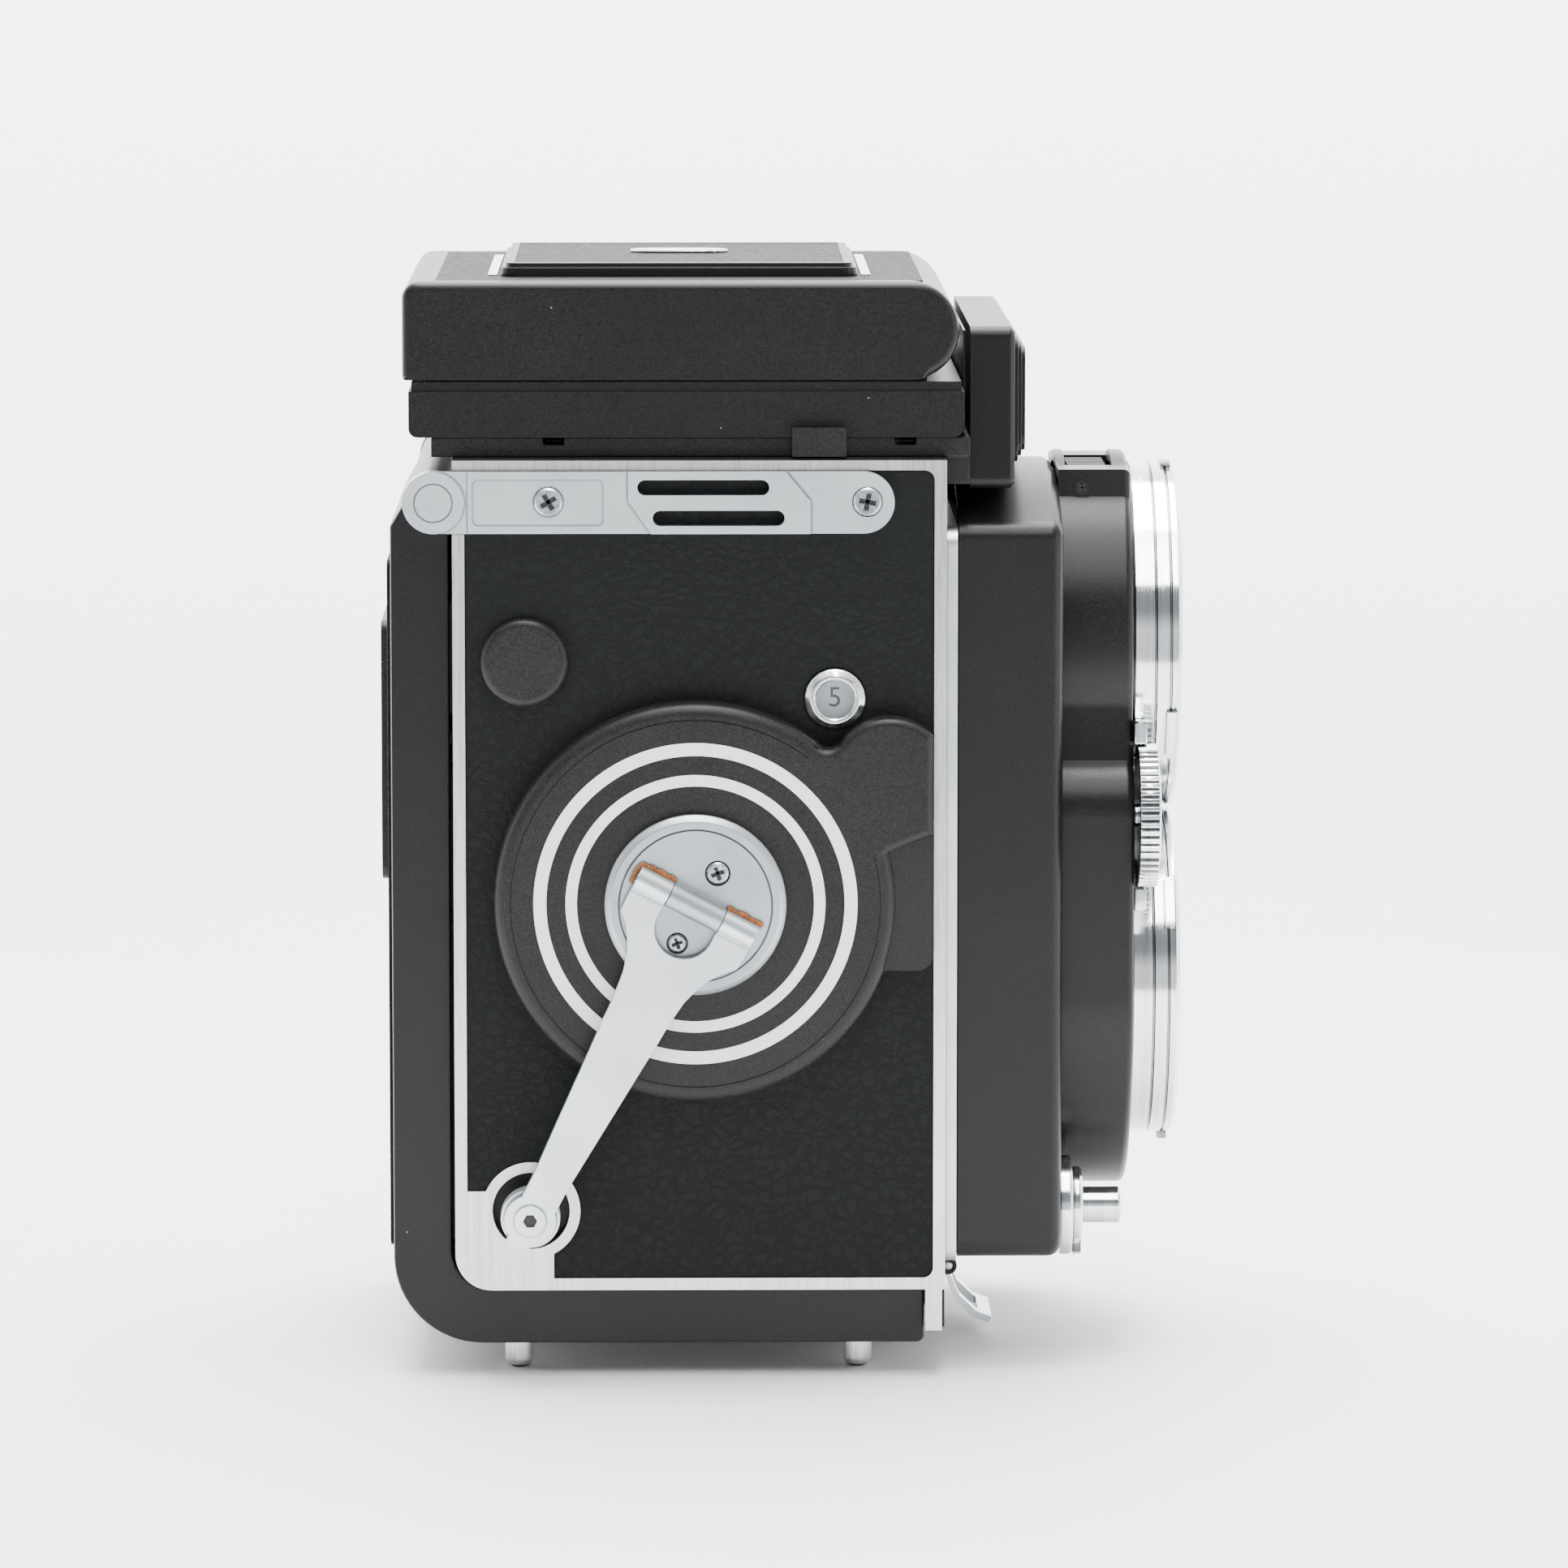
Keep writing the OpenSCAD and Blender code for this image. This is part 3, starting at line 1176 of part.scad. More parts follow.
module hood_lid() {
    color("#252628") difference() {
        across(-hood_half, hood_half) rounded(lid_pivot[0] - lid_end_r, frame_top, lid_rear, lid_top,
            [lid_end_r, 0.6, 2.2, lid_end_r]);
        // hollow that covers the folded panels
        across(-hood_half + lid_wall, hood_half - lid_wall) {
            rounded(lid_pivot[0] - lid_end_r + lid_wall, lid_pivot[1], lid_rear - lid_wall,
                cover_seat - lid_wall, [0, 0, 0, lid_end_r - lid_wall - lid_recess]);
            translate([lid_pivot[0] - lid_end_r - 1, frame_top - 1])
                square([lid_end_r + 2, lid_end_r + 1 + 3]);
            translate([lid_pivot[0], frame_top - 1])
                square([lid_rear - lid_wall - lid_pivot[0], lid_end_r + 1 + eps]);
        }
        across(-hood_half + 0.25, hood_half - 0.25) translate(lid_pivot) circle(lid_pin_r + running);
        translate([lid_panel[0], lid_panel[1], cover_seat])
            cube([lid_panel[2] - lid_panel[0], lid_panel[3] - lid_panel[1], 1]);
    }
    // ears and pin that the magnifier turns on
    color("#252628") {
        for (side = [0, 1]) mirror([side, 0, 0]) across(magnifier_ears[0], magnifier_ears[1]) {
            translate([magnifier_y, magnifier_z]) circle(1.6);
            translate([magnifier_y - 1.6, magnifier_z])
                square([3.2, cover_seat - lid_wall - magnifier_z + eps]);
        }
        across(-magnifier_ears[1], magnifier_ears[1]) translate([magnifier_y, magnifier_z])
            circle(magnifier_pin_r);
    }
}

// Leather let into the lid, and the flap's own
module hood_leather() {
    color("#1b1c1e") {
        translate([0, 0, cover_seat]) linear_extrude(lid_recess) difference() {
            rounded(lid_panel[0], lid_panel[1], lid_panel[2], lid_panel[3], 0.3 * [1, 1, 1, 1]);
            rounded(-flap_half, flap[0], flap_half, flap[1], 2 * [1, 1, 1, 1]);
            for (y = strip_y) translate([-22, y]) square([44, 1.3]);
        }
        translate([0, 0, cover_seat + flap_t - 0.6]) linear_extrude(0.5)
            rounded(-22, flap[0] + 1.8, 22, flap[1] - 1.8, 0.3 * [1, 1, 1, 1]);
    }
}

// Raised flap of the open-frame finder
module hood_flap() {
    color("#252628") translate([0, 0, cover_seat]) difference() {
        union() {
            linear_extrude(flap_t - 0.6) rounded(-flap_half, flap[0], flap_half, flap[1],
                2 * [1, 1, 1, 1]);
            linear_extrude(flap_t) rounded(-flap_half + 0.6, flap[0] + 0.6, flap_half - 0.6,
                flap[1] - 0.6, 1.6 * [1, 1, 1, 1]);
        }
        translate([0, 0, flap_t - 0.6]) linear_extrude(2) rounded(-22, flap[0] + 1.8, 22,
            flap[1] - 1.8, 0.3 * [1, 1, 1, 1]);
    }
}

// Bright strips at the flap's two ends, and a plain oval badge
module hood_trim() {
    color("#e6e7e8") {
        for (y = strip_y) translate([-22, y, cover_seat]) cube([44, 1.3, 0.6]);
        translate([3, -1.1, cover_seat + flap_t - 0.1]) linear_extrude(0.35)
            stadium([0, -3.2], [0, 3.2], 3.4);
    }
}

// Side panel, folded flat, its free edge bevelled at 45 degrees towards the rear
module hood_panel() {
    front_y = -25;
    reach = panel_h;
    color("#232426") {
        translate([0, 0, panel_z - panel_t / 2]) linear_extrude(panel_t) polygon([
            [-panel_x + 0.4, front_y], [-panel_x + 24, front_y], [-panel_x + reach, front_y + 6],
            [-panel_x + reach, panel_y - reach - mitre_gap], [-panel_x + 0.4, panel_y - 0.4 - mitre_gap]]);
        translate([-panel_x, front_y, panel_z]) rotate([-90, 0, 0])
            cylinder(r = panel_knuckle_r, h = panel_y - 1.5 - front_y);
    }
}
module hood_panel_right() { hood_panel(); }
module hood_panel_left() { mirror([1, 0, 0]) hood_panel(); }

module hood_panel_rear() {
    half = panel_x - mitre_gap;
    color("#232426") {
        translate([0, 0, panel_z - panel_t / 2]) linear_extrude(panel_t) polygon([
            [-half + 0.4, panel_y - 0.4], [half - 0.4, panel_y - 0.4],
            [half - rear_panel_h, panel_y - rear_panel_h], [-half + rear_panel_h, panel_y - rear_panel_h]]);
        translate([-half + 2, panel_y, panel_z]) rotate([0, 90, 0])
            cylinder(r = panel_knuckle_r, h = 2 * half - 4);
    }
}

// Magnifier on its own pivot under the lid
module magnifier() {
    ring_y = magnifier_y + 14.5;
    color("#1f2022") {
        difference() {
            union() {
                translate([0, ring_y, magnifier_z - 2.8]) cylinder(r = magnifier_r + 1.2, h = 2.6);
                translate([-5, magnifier_y, magnifier_z - 1.6]) cube([10, 8, 1.2]);
                across(-magnifier_ears[0] + 0.2, magnifier_ears[0] - 0.2)
                    translate([magnifier_y, magnifier_z]) circle(1.2);
            }
            translate([0, ring_y, magnifier_z - 4]) cylinder(r = magnifier_r, h = 5);
            across(-7, 7) translate([magnifier_y, magnifier_z]) circle(magnifier_pin_r + running);
        }
    }
    color("#c8d4dc", 0.4) translate([0, ring_y, magnifier_z - 2.6])
        cylinder(r = magnifier_r, h = 2);
}

// ---------------------------------------------------------------- what is drawn

body_shell();
side_plates();
side_leather();
strap_brackets();
bracket_screws();
hinge_pins();
crank_housing();
crank_trim_rings();
spool_port_cap();
counter_bezel();
counter_window();
counter_dial();
front_guard();
film_gate();
reflex_mirror();
focusing_screen();
hood_mount();
hood_frame();
hood_catch_right();
hood_catch_left();
name_block();
name_plate();
lens_standard();
lens_cover();
viewing_barrel();
taking_barrel();
lens_glasses();
shutter_case();
wheel_guards();
aperture_wheel();
shutter_wheel();
release_collar();
release_lock();
release_button();
flash_socket();
crank_hub();
crank_gear();
crank_screws();
crank_arm();
crank_knob();
idler_gear();
take_up_gear();
take_up_spool();
focus_knob();
spool_knobs_upper();
spool_knobs_lower();
back_door();
door_fittings();
door_leather();
table_holder();
pressure_plate();
door_latch();
hood_lid();
hood_leather();
hood_flap();
hood_trim();
hood_panel_right();
hood_panel_left();
hood_panel_rear();
magnifier();
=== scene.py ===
"""Looks of a twin lens reflex camera, built round its CAD frame.

Lengths are in metres unless a name says mm.
"""
import json
import math
import random

import bpy
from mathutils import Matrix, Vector

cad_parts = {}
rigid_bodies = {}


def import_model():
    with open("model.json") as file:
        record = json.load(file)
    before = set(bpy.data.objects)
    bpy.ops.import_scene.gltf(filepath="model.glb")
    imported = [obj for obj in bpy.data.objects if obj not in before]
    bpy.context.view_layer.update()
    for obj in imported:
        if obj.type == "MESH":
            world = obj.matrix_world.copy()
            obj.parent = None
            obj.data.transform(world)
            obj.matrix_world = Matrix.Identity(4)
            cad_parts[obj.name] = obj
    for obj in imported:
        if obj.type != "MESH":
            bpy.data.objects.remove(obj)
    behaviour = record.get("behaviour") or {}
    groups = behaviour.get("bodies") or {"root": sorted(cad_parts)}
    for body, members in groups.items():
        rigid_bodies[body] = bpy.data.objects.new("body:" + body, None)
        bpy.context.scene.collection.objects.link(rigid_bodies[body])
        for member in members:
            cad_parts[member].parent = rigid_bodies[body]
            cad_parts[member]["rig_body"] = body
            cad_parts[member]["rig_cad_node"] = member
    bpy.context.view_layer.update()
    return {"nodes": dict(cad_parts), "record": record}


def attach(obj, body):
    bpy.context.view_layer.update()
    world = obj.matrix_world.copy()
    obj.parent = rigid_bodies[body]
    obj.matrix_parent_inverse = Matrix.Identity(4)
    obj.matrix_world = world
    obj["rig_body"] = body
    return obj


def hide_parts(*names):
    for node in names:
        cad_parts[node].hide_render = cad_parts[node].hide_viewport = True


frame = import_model()
MM = 0.001


# ------------------------------------------------------------------ node helpers

def linear(hex_colour):
    """A colour written as in a paint chart, turned into the renderer's linear values."""
    parts = [int(hex_colour[i:i + 2], 16) / 255 for i in (1, 3, 5)]
    return tuple(c / 12.92 if c <= 0.04045 else ((c + 0.055) / 1.055) ** 2.4 for c in parts) + (1.0,)


def add(tree, kind, links=None, values=None, **settings):
    """Adds one node, sets its settings and values, and links other nodes' outputs to its inputs."""
    n = tree.nodes.new(kind)
    for key, value in settings.items():
        setattr(n, key, value)
    for key, value in (values or {}).items():
        n.inputs[key].default_value = value
    for key, source in (links or {}).items():
        tree.links.new(source, n.inputs[key])
    return n


def new_material(name):
    """An empty material, its node tree and its places on the object."""
    m = bpy.data.materials.new(name)
    m.use_nodes = True
    m.node_tree.nodes.clear()
    tree = m.node_tree
    place = add(tree, "ShaderNodeTexCoord").outputs["Object"]
    return m, tree, place


def close(tree, links, values):
    """Ends a material with one surface shader."""
    surface = add(tree, "ShaderNodeBsdfPrincipled", links, values)
    add(tree, "ShaderNodeOutputMaterial", {"Surface": surface.outputs["BSDF"]})


def grain(tree, place, size_mm, detail=2.0, stretch=(1, 1, 1)):
    """Noise whose features are about size_mm across, longer along an axis where stretch is below 1."""
    at = add(tree, "ShaderNodeMapping", {"Vector": place}, {"Scale": stretch}).outputs["Vector"]
    return add(tree, "ShaderNodeTexNoise", {"Vector": at},
               {"Scale": 1000.0 / size_mm, "Detail": detail}).outputs["Fac"]


def between(tree, fac, low, high, from_low=0.3, from_high=0.7):
    """Maps a noise value to a range."""
    return add(tree, "ShaderNodeMapRange", {"Value": fac},
               {"From Min": from_low, "From Max": from_high, "To Min": low, "To Max": high}).outputs["Result"]


def ramp(tree, fac, *stops):
    """Colour ramp with (position, colour) stops."""
    r = add(tree, "ShaderNodeValToRGB", {"Fac": fac})
    elements = r.color_ramp.elements
    elements[0].position, elements[0].color = stops[0][0], linear(stops[0][1])
    elements[1].position, elements[1].color = stops[-1][0], linear(stops[-1][1])
    for position, colour in stops[1:-1]:
        elements.new(position).color = linear(colour)
    return r.outputs["Color"]


def bump(tree, height, distance_mm, strength, after=None):
    """Relief of distance_mm from a height, on top of another relief where one is given."""
    links = {"Height": height}
    if after is not None:
        links["Normal"] = after
    return add(tree, "ShaderNodeBump", links,
               {"Strength": strength, "Distance": distance_mm * MM}).outputs["Normal"]


def blend(tree, fac, a, b):
    """Mixes colour a, at 0, with colour b, at 1. Each is a node's output or a hex colour."""
    links, values = {"Factor": fac}, {}
    for socket, colour in (("A", a), ("B", b)):
        if isinstance(colour, str):
            values[socket] = linear(colour)
        else:
            links[socket] = colour
    return add(tree, "ShaderNodeMix", links, values, data_type="RGBA").outputs["Result"]


def specks(tree, place, spacing_mm, size, bare_share=0.82):
    """1 on dust specks of a size given as a share of their spacing, 0 elsewhere."""
    v = add(tree, "ShaderNodeTexVoronoi", {"Vector": place}, {"Scale": 1000.0 / spacing_mm})
    keep = add(tree, "ShaderNodeMath", {0: v.outputs["Color"]}, {1: bare_share},
               operation="GREATER_THAN")
    dot = add(tree, "ShaderNodeMath", {0: v.outputs["Distance"]}, {1: size}, operation="LESS_THAN")
    both = add(tree, "ShaderNodeMath", {0: keep.outputs["Value"], 1: dot.outputs["Value"]},
               operation="MULTIPLY")
    return both.outputs["Value"]


# ------------------------------------------------------------------ materials

def enamel(name, dark, light, rough, grain_mm=0.16, relief=0.010, dust=0.0, shine=0.2):
    """Baked satin enamel with a fine orange-peel texture; dust is the specks' size, 0 for none."""
    m, t, at = new_material(name)
    fine = grain(t, at, grain_mm, 2.0)
    cloud = grain(t, at, 14.0, 3.0)
    colour = ramp(t, fine, (0.34, dark), (0.68, light))
    colour = blend(t, between(t, cloud, 0.0, 0.35), colour, dark)
    if dust:
        spots = specks(t, at, 3.2, dust)
        colour = blend(t, spots, colour, ramp(t, fine, (0.2, "#6d6f71"), (0.8, "#8b8d8f")))
    close(t, {"Base Color": colour, "Roughness": between(t, fine, rough - 0.05, rough + 0.07),
              "Normal": bump(t, fine, relief, 0.9)},
          {"IOR": 1.5, "Specular IOR Level": shine})
    return m


def leather(name):
    """Pebbled leatherette: small irregular pebbles with soft creases between, finer grain on them."""
    pebbles_per_m, fine_pebbles_per_m, warps_per_m = 620.0, 1500.0, 300.0
    warp_reach = (0.0034, 0.0040, 0.0034)
    m, t, at = new_material(name)
    warp = add(t, "ShaderNodeTexNoise", {"Vector": at}, {"Scale": warps_per_m, "Detail": 3.0})
    pull = add(t, "ShaderNodeVectorMath", {0: warp.outputs["Color"]}, {1: warp_reach},
               operation="MULTIPLY")
    bent = add(t, "ShaderNodeVectorMath", {0: at, 1: pull.outputs["Vector"]}, operation="ADD")

    def crease(per_m, width):
        """0 in the creases between pebbles, rising to 1 on them."""
        edge = add(t, "ShaderNodeTexVoronoi", {"Vector": bent.outputs["Vector"]}, {"Scale": per_m},
                   feature="DISTANCE_TO_EDGE")
        return between(t, edge.outputs["Distance"], 0.0, 1.0, 0.0, width)

    crease_big = crease(pebbles_per_m, 0.3)
    crease_small = crease(fine_pebbles_per_m, 0.2)
    patch = between(t, grain(t, at, 24.0, 2.0), 0.35, 1.0, 0.38, 0.6)
    pores = grain(t, at, 0.22, 3.0)
    # creases darker than the pebbles: painted shade in the creases
    dark = blend(t, crease_big, ramp(t, pores, (0.3, "#0b0d0e"), (0.7, "#101213")),
                 ramp(t, pores, (0.3, "#0e1011"), (0.7, "#131617")))
    soft = add(t, "ShaderNodeMath", {0: crease_big, 1: patch}, operation="MULTIPLY").outputs["Value"]
    n = bump(t, soft, 0.075, 0.7)
    n = bump(t, crease_small, 0.03, 0.6, n)
    n = bump(t, pores, 0.02, 0.6, n)
    close(t, {"Base Color": dark, "Roughness": between(t, crease_big, 0.62, 0.5, 0.0, 1.0), "Normal": n},
          {"IOR": 1.5, "Specular IOR Level": 0.14})
    return m


def seams(tree, colour, shade_colour, reach_mm=0.5):
    """Paints shade into a metal's colour in its grooves, joints and recesses, where other faces are near."""
    # how crowded by other faces each point is, turned into painted shade
    crowd = add(tree, "ShaderNodeAmbientOcclusion", None, {"Distance": reach_mm * MM}, samples=8)
    fac = between(tree, crowd.outputs["AO"], 0.0, 1.0, 0.45, 0.95)
    return blend(tree, fac, shade_colour, colour)


def blasted(name, dark, light, rough):
    """Satin chrome over a fine blasted surface."""
    m, t, at = new_material(name)
    fine = grain(t, at, 0.12, 2.0)
    cloud = grain(t, at, 9.0, 3.0)
    mottle = ramp(t, fine, (0.3, dark), (0.7, light))
    colour = blend(t, between(t, cloud, 0.0, 1.0, 0.35, 0.65), mottle, light)
    # the chrome is darkened in its grooves and recesses: painted shade
    close(t, {"Base Color": seams(t, colour, "#4c5053"),
              "Roughness": between(t, fine, rough - 0.05, rough + 0.06),
              "Normal": bump(t, fine, 0.008, 0.8)},
          {"Metallic": 1.0})
    return m


def brushed(name, dark, light, rough, stretch=(1, 1, 0.02), width_mm=0.09, relief=0.006):
    """Metal brushed along one axis: long streaks of different brightness."""
    m, t, at = new_material(name)
    streak = grain(t, at, width_mm, 3.0, stretch)
    broad = grain(t, at, width_mm * 7, 2.0, stretch)
    streaks = ramp(t, streak, (0.32, dark), (0.68, light))
    colour = blend(t, between(t, broad, 0.0, 1.0, 0.35, 0.65), streaks, light)
    # the aluminium is darkened in its grooves and recesses: painted shade
    close(t, {"Base Color": seams(t, colour, "#55585a"),
              "Roughness": between(t, streak, rough - 0.07, rough + 0.09),
              "Normal": bump(t, streak, relief, 0.8)},
          {"Metallic": 1.0, "Anisotropic": 0.4})
    return m


def paint(name, dark, light, rough, grain_mm=0.3, relief=0.004, metallic=0.0):
    """Plain paint or moulding with a slight mottle."""
    m, t, at = new_material(name)
    fine = grain(t, at, grain_mm, 3.0)
    close(t, {"Base Color": ramp(t, fine, (0.3, dark), (0.7, light)),
              "Roughness": between(t, fine, rough - 0.04, rough + 0.05),
              "Normal": bump(t, fine, relief, 0.7)},
          {"IOR": 1.5, "Metallic": metallic})
    return m


def glass(name, tint, rough, strength, coating=None):
    """Glass. A coating is two colours that its faint reflection drifts between."""
    m, t, at = new_material(name)
    haze = grain(t, at, 6.0, 2.0)
    links = {"Roughness": between(t, haze, rough, rough + 0.015)}
    if coating:
        links["Coat Tint"] = ramp(t, haze, (0.3, coating[0]), (0.7, coating[1]))
    close(t, links, {"Base Color": linear(tint), "IOR": 1.52, "Transmission Weight": strength,
                     "Coat Weight": 0.7, "Coat Roughness": 0.02})
    return m


# one for each material slot, and a few more for details
MATERIALS = {
    "black_paint": enamel("satin black enamel", "#0b0b0d", "#1d1d1f", 0.33, 0.2, 0.014, 0.035, 0.24),
    "matt_black": enamel("matt black enamel", "#0d0d0d", "#292827", 0.38, 0.18, 0.018, 0.03, 0.24),
    "black_plastic": enamel("satin black moulding", "#0b0c0e", "#131416", 0.34, 0.2, 0.005, 0.0, 0.2),
    "leather": leather("pebbled black leatherette"),
    "satin_metal": blasted("satin chrome", "#c0c8cc", "#dde3e6", 0.34),
    "dull_chrome": blasted("dull chrome", "#949a9e", "#b3b9bd", 0.4),
    "brushed_aluminium": brushed("brushed aluminium", "#b4b2ae", "#dcdad6", 0.33),
    "chrome": brushed("bright chrome, turned", "#c6cacd", "#eceff0", 0.14, (0.02, 1, 0.02), 0.12, 0.002),
    "steel": brushed("zinc plated steel", "#8b9093", "#c4c8cb", 0.26, (1, 1, 1), 0.5, 0.004),
    "silver_inlay": paint("silver paint", "#e6e7e6", "#f6f6f4", 0.42, 0.25, 0.003),
    "brass": brushed("cut brass", "#8f7239", "#c3a05a", 0.3, (1, 0.05, 1), 0.15),
    "clear_window": glass("acrylic window", "#f7fafb", 0.01, 1.0),
    "lens_glass": glass("coated optical glass", "#c9d2e6", 0.0, 0.92, ("#b9a7ff", "#f4ecff")),
    "ground_glass": glass("ground glass", "#eef2ef", 0.45, 0.6),
    "mirror": paint("silvered mirror", "#c9d1d5", "#d5dbde", 0.06, 4.0, 0.0005, 1.0),
    "dial": paint("pale grey dial paint", "#dcdfe0", "#e8eaeb", 0.45, 0.4),
    "spool_plastic": paint("moulded black plastic", "#242628", "#2c2e30", 0.4),
    "ink": paint("black filled engraving", "#131415", "#1c1d1e", 0.5),
    "cork": paint("worn cork friction pad", "#6f3f20", "#a9693a", 0.8, 0.35, 0.05),
    # dark grey steel that paints the shade at the bottoms of screw recesses
    "shaded_steel": paint("steel with painted recess shade", "#2a2d30", "#43484c", 0.5, 0.3, 0.003, 0.5),
    "dark_screw": paint("blackened steel", "#17181a", "#26282a", 0.35, 0.3, 0.003, 0.6),
}

# ------------------------------------------------------------------ finish pieces from the CAD nodes

# width in mm of the rounded edges that each finish piece gets
USUAL_EDGE_MM = 0.12
EDGE_MM = {
    "body_shell": 0.25, "side_plates": 0.08, "side_leather": 0.25, "strap_brackets": 0.16,
    "bracket_screws": 0.05, "crank_housing": 0.2, "crank_trim_rings": 0.03, "counter_bezel": 0.1,
    "front_guard": 0.35, "hood_mount": 0.25, "hood_frame": 0.35, "hood_lid": 0.3, "hood_flap": 0.35,
    "hood_leather": 0.15, "name_block": 0.4, "lens_standard": 0.25, "lens_cover": 0.25,
    "wheel_guards": 0.25, "aperture_wheel": 0.08, "shutter_wheel": 0.08, "release_lock": 0.08,
    "crank_arm": 0.22, "crank_screws": 0.05, "back_door": 0.45, "door_latch": 0.1,
    "lens_glasses": 0.0, "crank_gear": 0.05, "idler_gear": 0.05, "take_up_gear": 0.05,
    "reflex_mirror": 0.1, "counter_window": 0.05, "counter_dial": 0.03,
}


def box_of(node):
    """Lower and upper corner of a CAD node's box, in mm."""
    o = frame["nodes"][node]
    points = [o.matrix_world @ v.co / MM for v in o.data.vertices]
    return [[end(p[i] for p in points) for i in range(3)] for end in (min, max)]


def on(axis, value, slack=0.02):
    """Test for an edge that lies in the plane where axis has that value."""
    return lambda a, b: abs(a[axis] - value) < slack and abs(b[axis] - value) < slack


STANDARD = box_of("lens_standard")
COVER = box_of("lens_cover")
LID = box_of("hood_lid")
HOUSING = box_of("crank_housing")

# places in mm that the frame's boxes don't give
STANDARD_HALF = 33.0                     # the standard's half width
ARCH_SIDE_Z = 108.0                      # where the standard's arch meets its sides
ARCH_Z, ARCH_R = 24.3, 90.0              # the arch's middle and radius
UPPER_LENS_Z, LOWER_LENS_Z = 90.6, 44.7
CRANK = (-3.1, 59.5)                     # the crank's axis, as Y and Z
HOUSING_ROUND_R = 25.2                   # just inside the edge of the housing's round part
LID_PIN = (-31.3, 134.0)                 # the lid's hinge pin, as Y and Z
LID_PIN_RIM = 2.0                        # radius that takes in the pin's hole


def within(point, z, r):
    """Whether a point is within r of the line that runs from front to back at height z, in the middle."""
    return point.x ** 2 + (point.z - z) ** 2 < r ** 2


def standard_rim(a, b):
    """Outline of the standard's front, and the two edges along its shoulders."""
    m = (a + b) / 2
    below_openings, above_openings = 12, 104
    on_arch = m.z > above_openings and not within(m, ARCH_Z, ARCH_R - 2)
    rim = abs(m.x) > STANDARD_HALF - 3 or m.z < below_openings or on_arch
    front = on(1, STANDARD[0][1])(a, b) and rim
    at_shoulder = abs(abs(m.x) - STANDARD_HALF) < 0.05 and abs(m.z - ARCH_SIDE_Z) < 0.3
    return front or (at_shoulder and abs(a.y - b.y) > 5)


def cover_rim(a, b):
    """Outline of the cover's front, without its two openings and its window."""
    m = (a + b) / 2
    hole = within(m, UPPER_LENS_Z, 17) or within(m, LOWER_LENS_Z, 18)
    return on(1, COVER[0][1])(a, b) and not hole


def lobe_rim(a, b):
    """Outline of the housing's lobe, outside its round part."""
    nearest = min(math.hypot(p.y - CRANK[0], p.z - CRANK[1]) for p in (a, b))
    return on(0, HOUSING[0][0])(a, b) and nearest > HOUSING_ROUND_R


def lid_rim(a, b):
    """The lid's outline on both sides, above its lower edge and outside its pin's hole."""
    m = (a + b) / 2
    side = on(0, LID[0][0])(a, b) or on(0, LID[1][0])(a, b)
    off_pin = math.hypot(m.y - LID_PIN[0], m.z - LID_PIN[1]) > LID_PIN_RIM
    return side and m.z > LID[0][2] + 0.3 and off_pin


# edges rounded more widely than the rest: width in mm, segments, test
ROUNDED = {
    "lens_standard": [(1.7, 5, standard_rim)],
    "lens_cover": [(1.0, 4, cover_rim)],
    "crank_housing": [(1.1, 4, lobe_rim)],
    "hood_lid": [(1.1, 4, lid_rim)],
}
FINISH = {"crank_hub": "dull_chrome"}     # where a node's finish isn't just its slot's
SLOTS = {s["node"]: s["material_slot"] for s in frame["record"]["subparts"]}
BODY_OF = {n: b for b, members in frame["record"]["behaviour"]["bodies"].items() for n in members}


def only(o):
    """Makes o the one selected and active object."""
    bpy.ops.object.select_all(action="DESELECT")
    o.select_set(True)
    bpy.context.view_layer.objects.active = o


def apply_all(o):
    """Applies every modifier, in order."""
    only(o)
    for m in list(o.modifiers):
        bpy.ops.object.modifier_apply(modifier=m.name)


def round_edges(o, width_mm):
    """Rounds every edge sharper than 32 degrees, and shades the faces smooth between them."""
    if width_mm > 0:
        b = o.modifiers.new("edges", "BEVEL")
        b.width, b.segments, b.limit_method = width_mm * MM, 2, "ANGLE"
        b.angle_limit, b.use_clamp_overlap = math.radians(32), True
        apply_all(o)
    only(o)
    bpy.ops.object.shade_smooth_by_angle(angle=math.radians(30))
    w = o.modifiers.new("even shading", "WEIGHTED_NORMAL")
    w.keep_sharp, w.weight = True, 100
    apply_all(o)


def round_chosen(o, width_mm, segments, test):
    """Rounds the edges whose two ends, in mm, both pass the test."""
    only(o)
    bpy.ops.object.mode_set(mode="EDIT")
    bpy.ops.mesh.select_mode(type="EDGE")
    bpy.ops.mesh.select_all(action="DESELECT")
    bpy.ops.object.mode_set(mode="OBJECT")
    ends = [v.co / MM for v in o.data.vertices]
    for e in o.data.edges:
        e.select = test(ends[e.vertices[0]], ends[e.vertices[1]])
    bpy.ops.object.mode_set(mode="EDIT")
    bpy.ops.mesh.bevel(offset=width_mm * MM, segments=segments, affect="EDGES",
                       clamp_overlap=False)
    bpy.ops.object.mode_set(mode="OBJECT")


def dress(o, material, body):
    """Gives a finished piece its material and the body that it rides on."""
    o.data.materials.clear()
    o.data.materials.append(MATERIALS[material])
    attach(o, body)


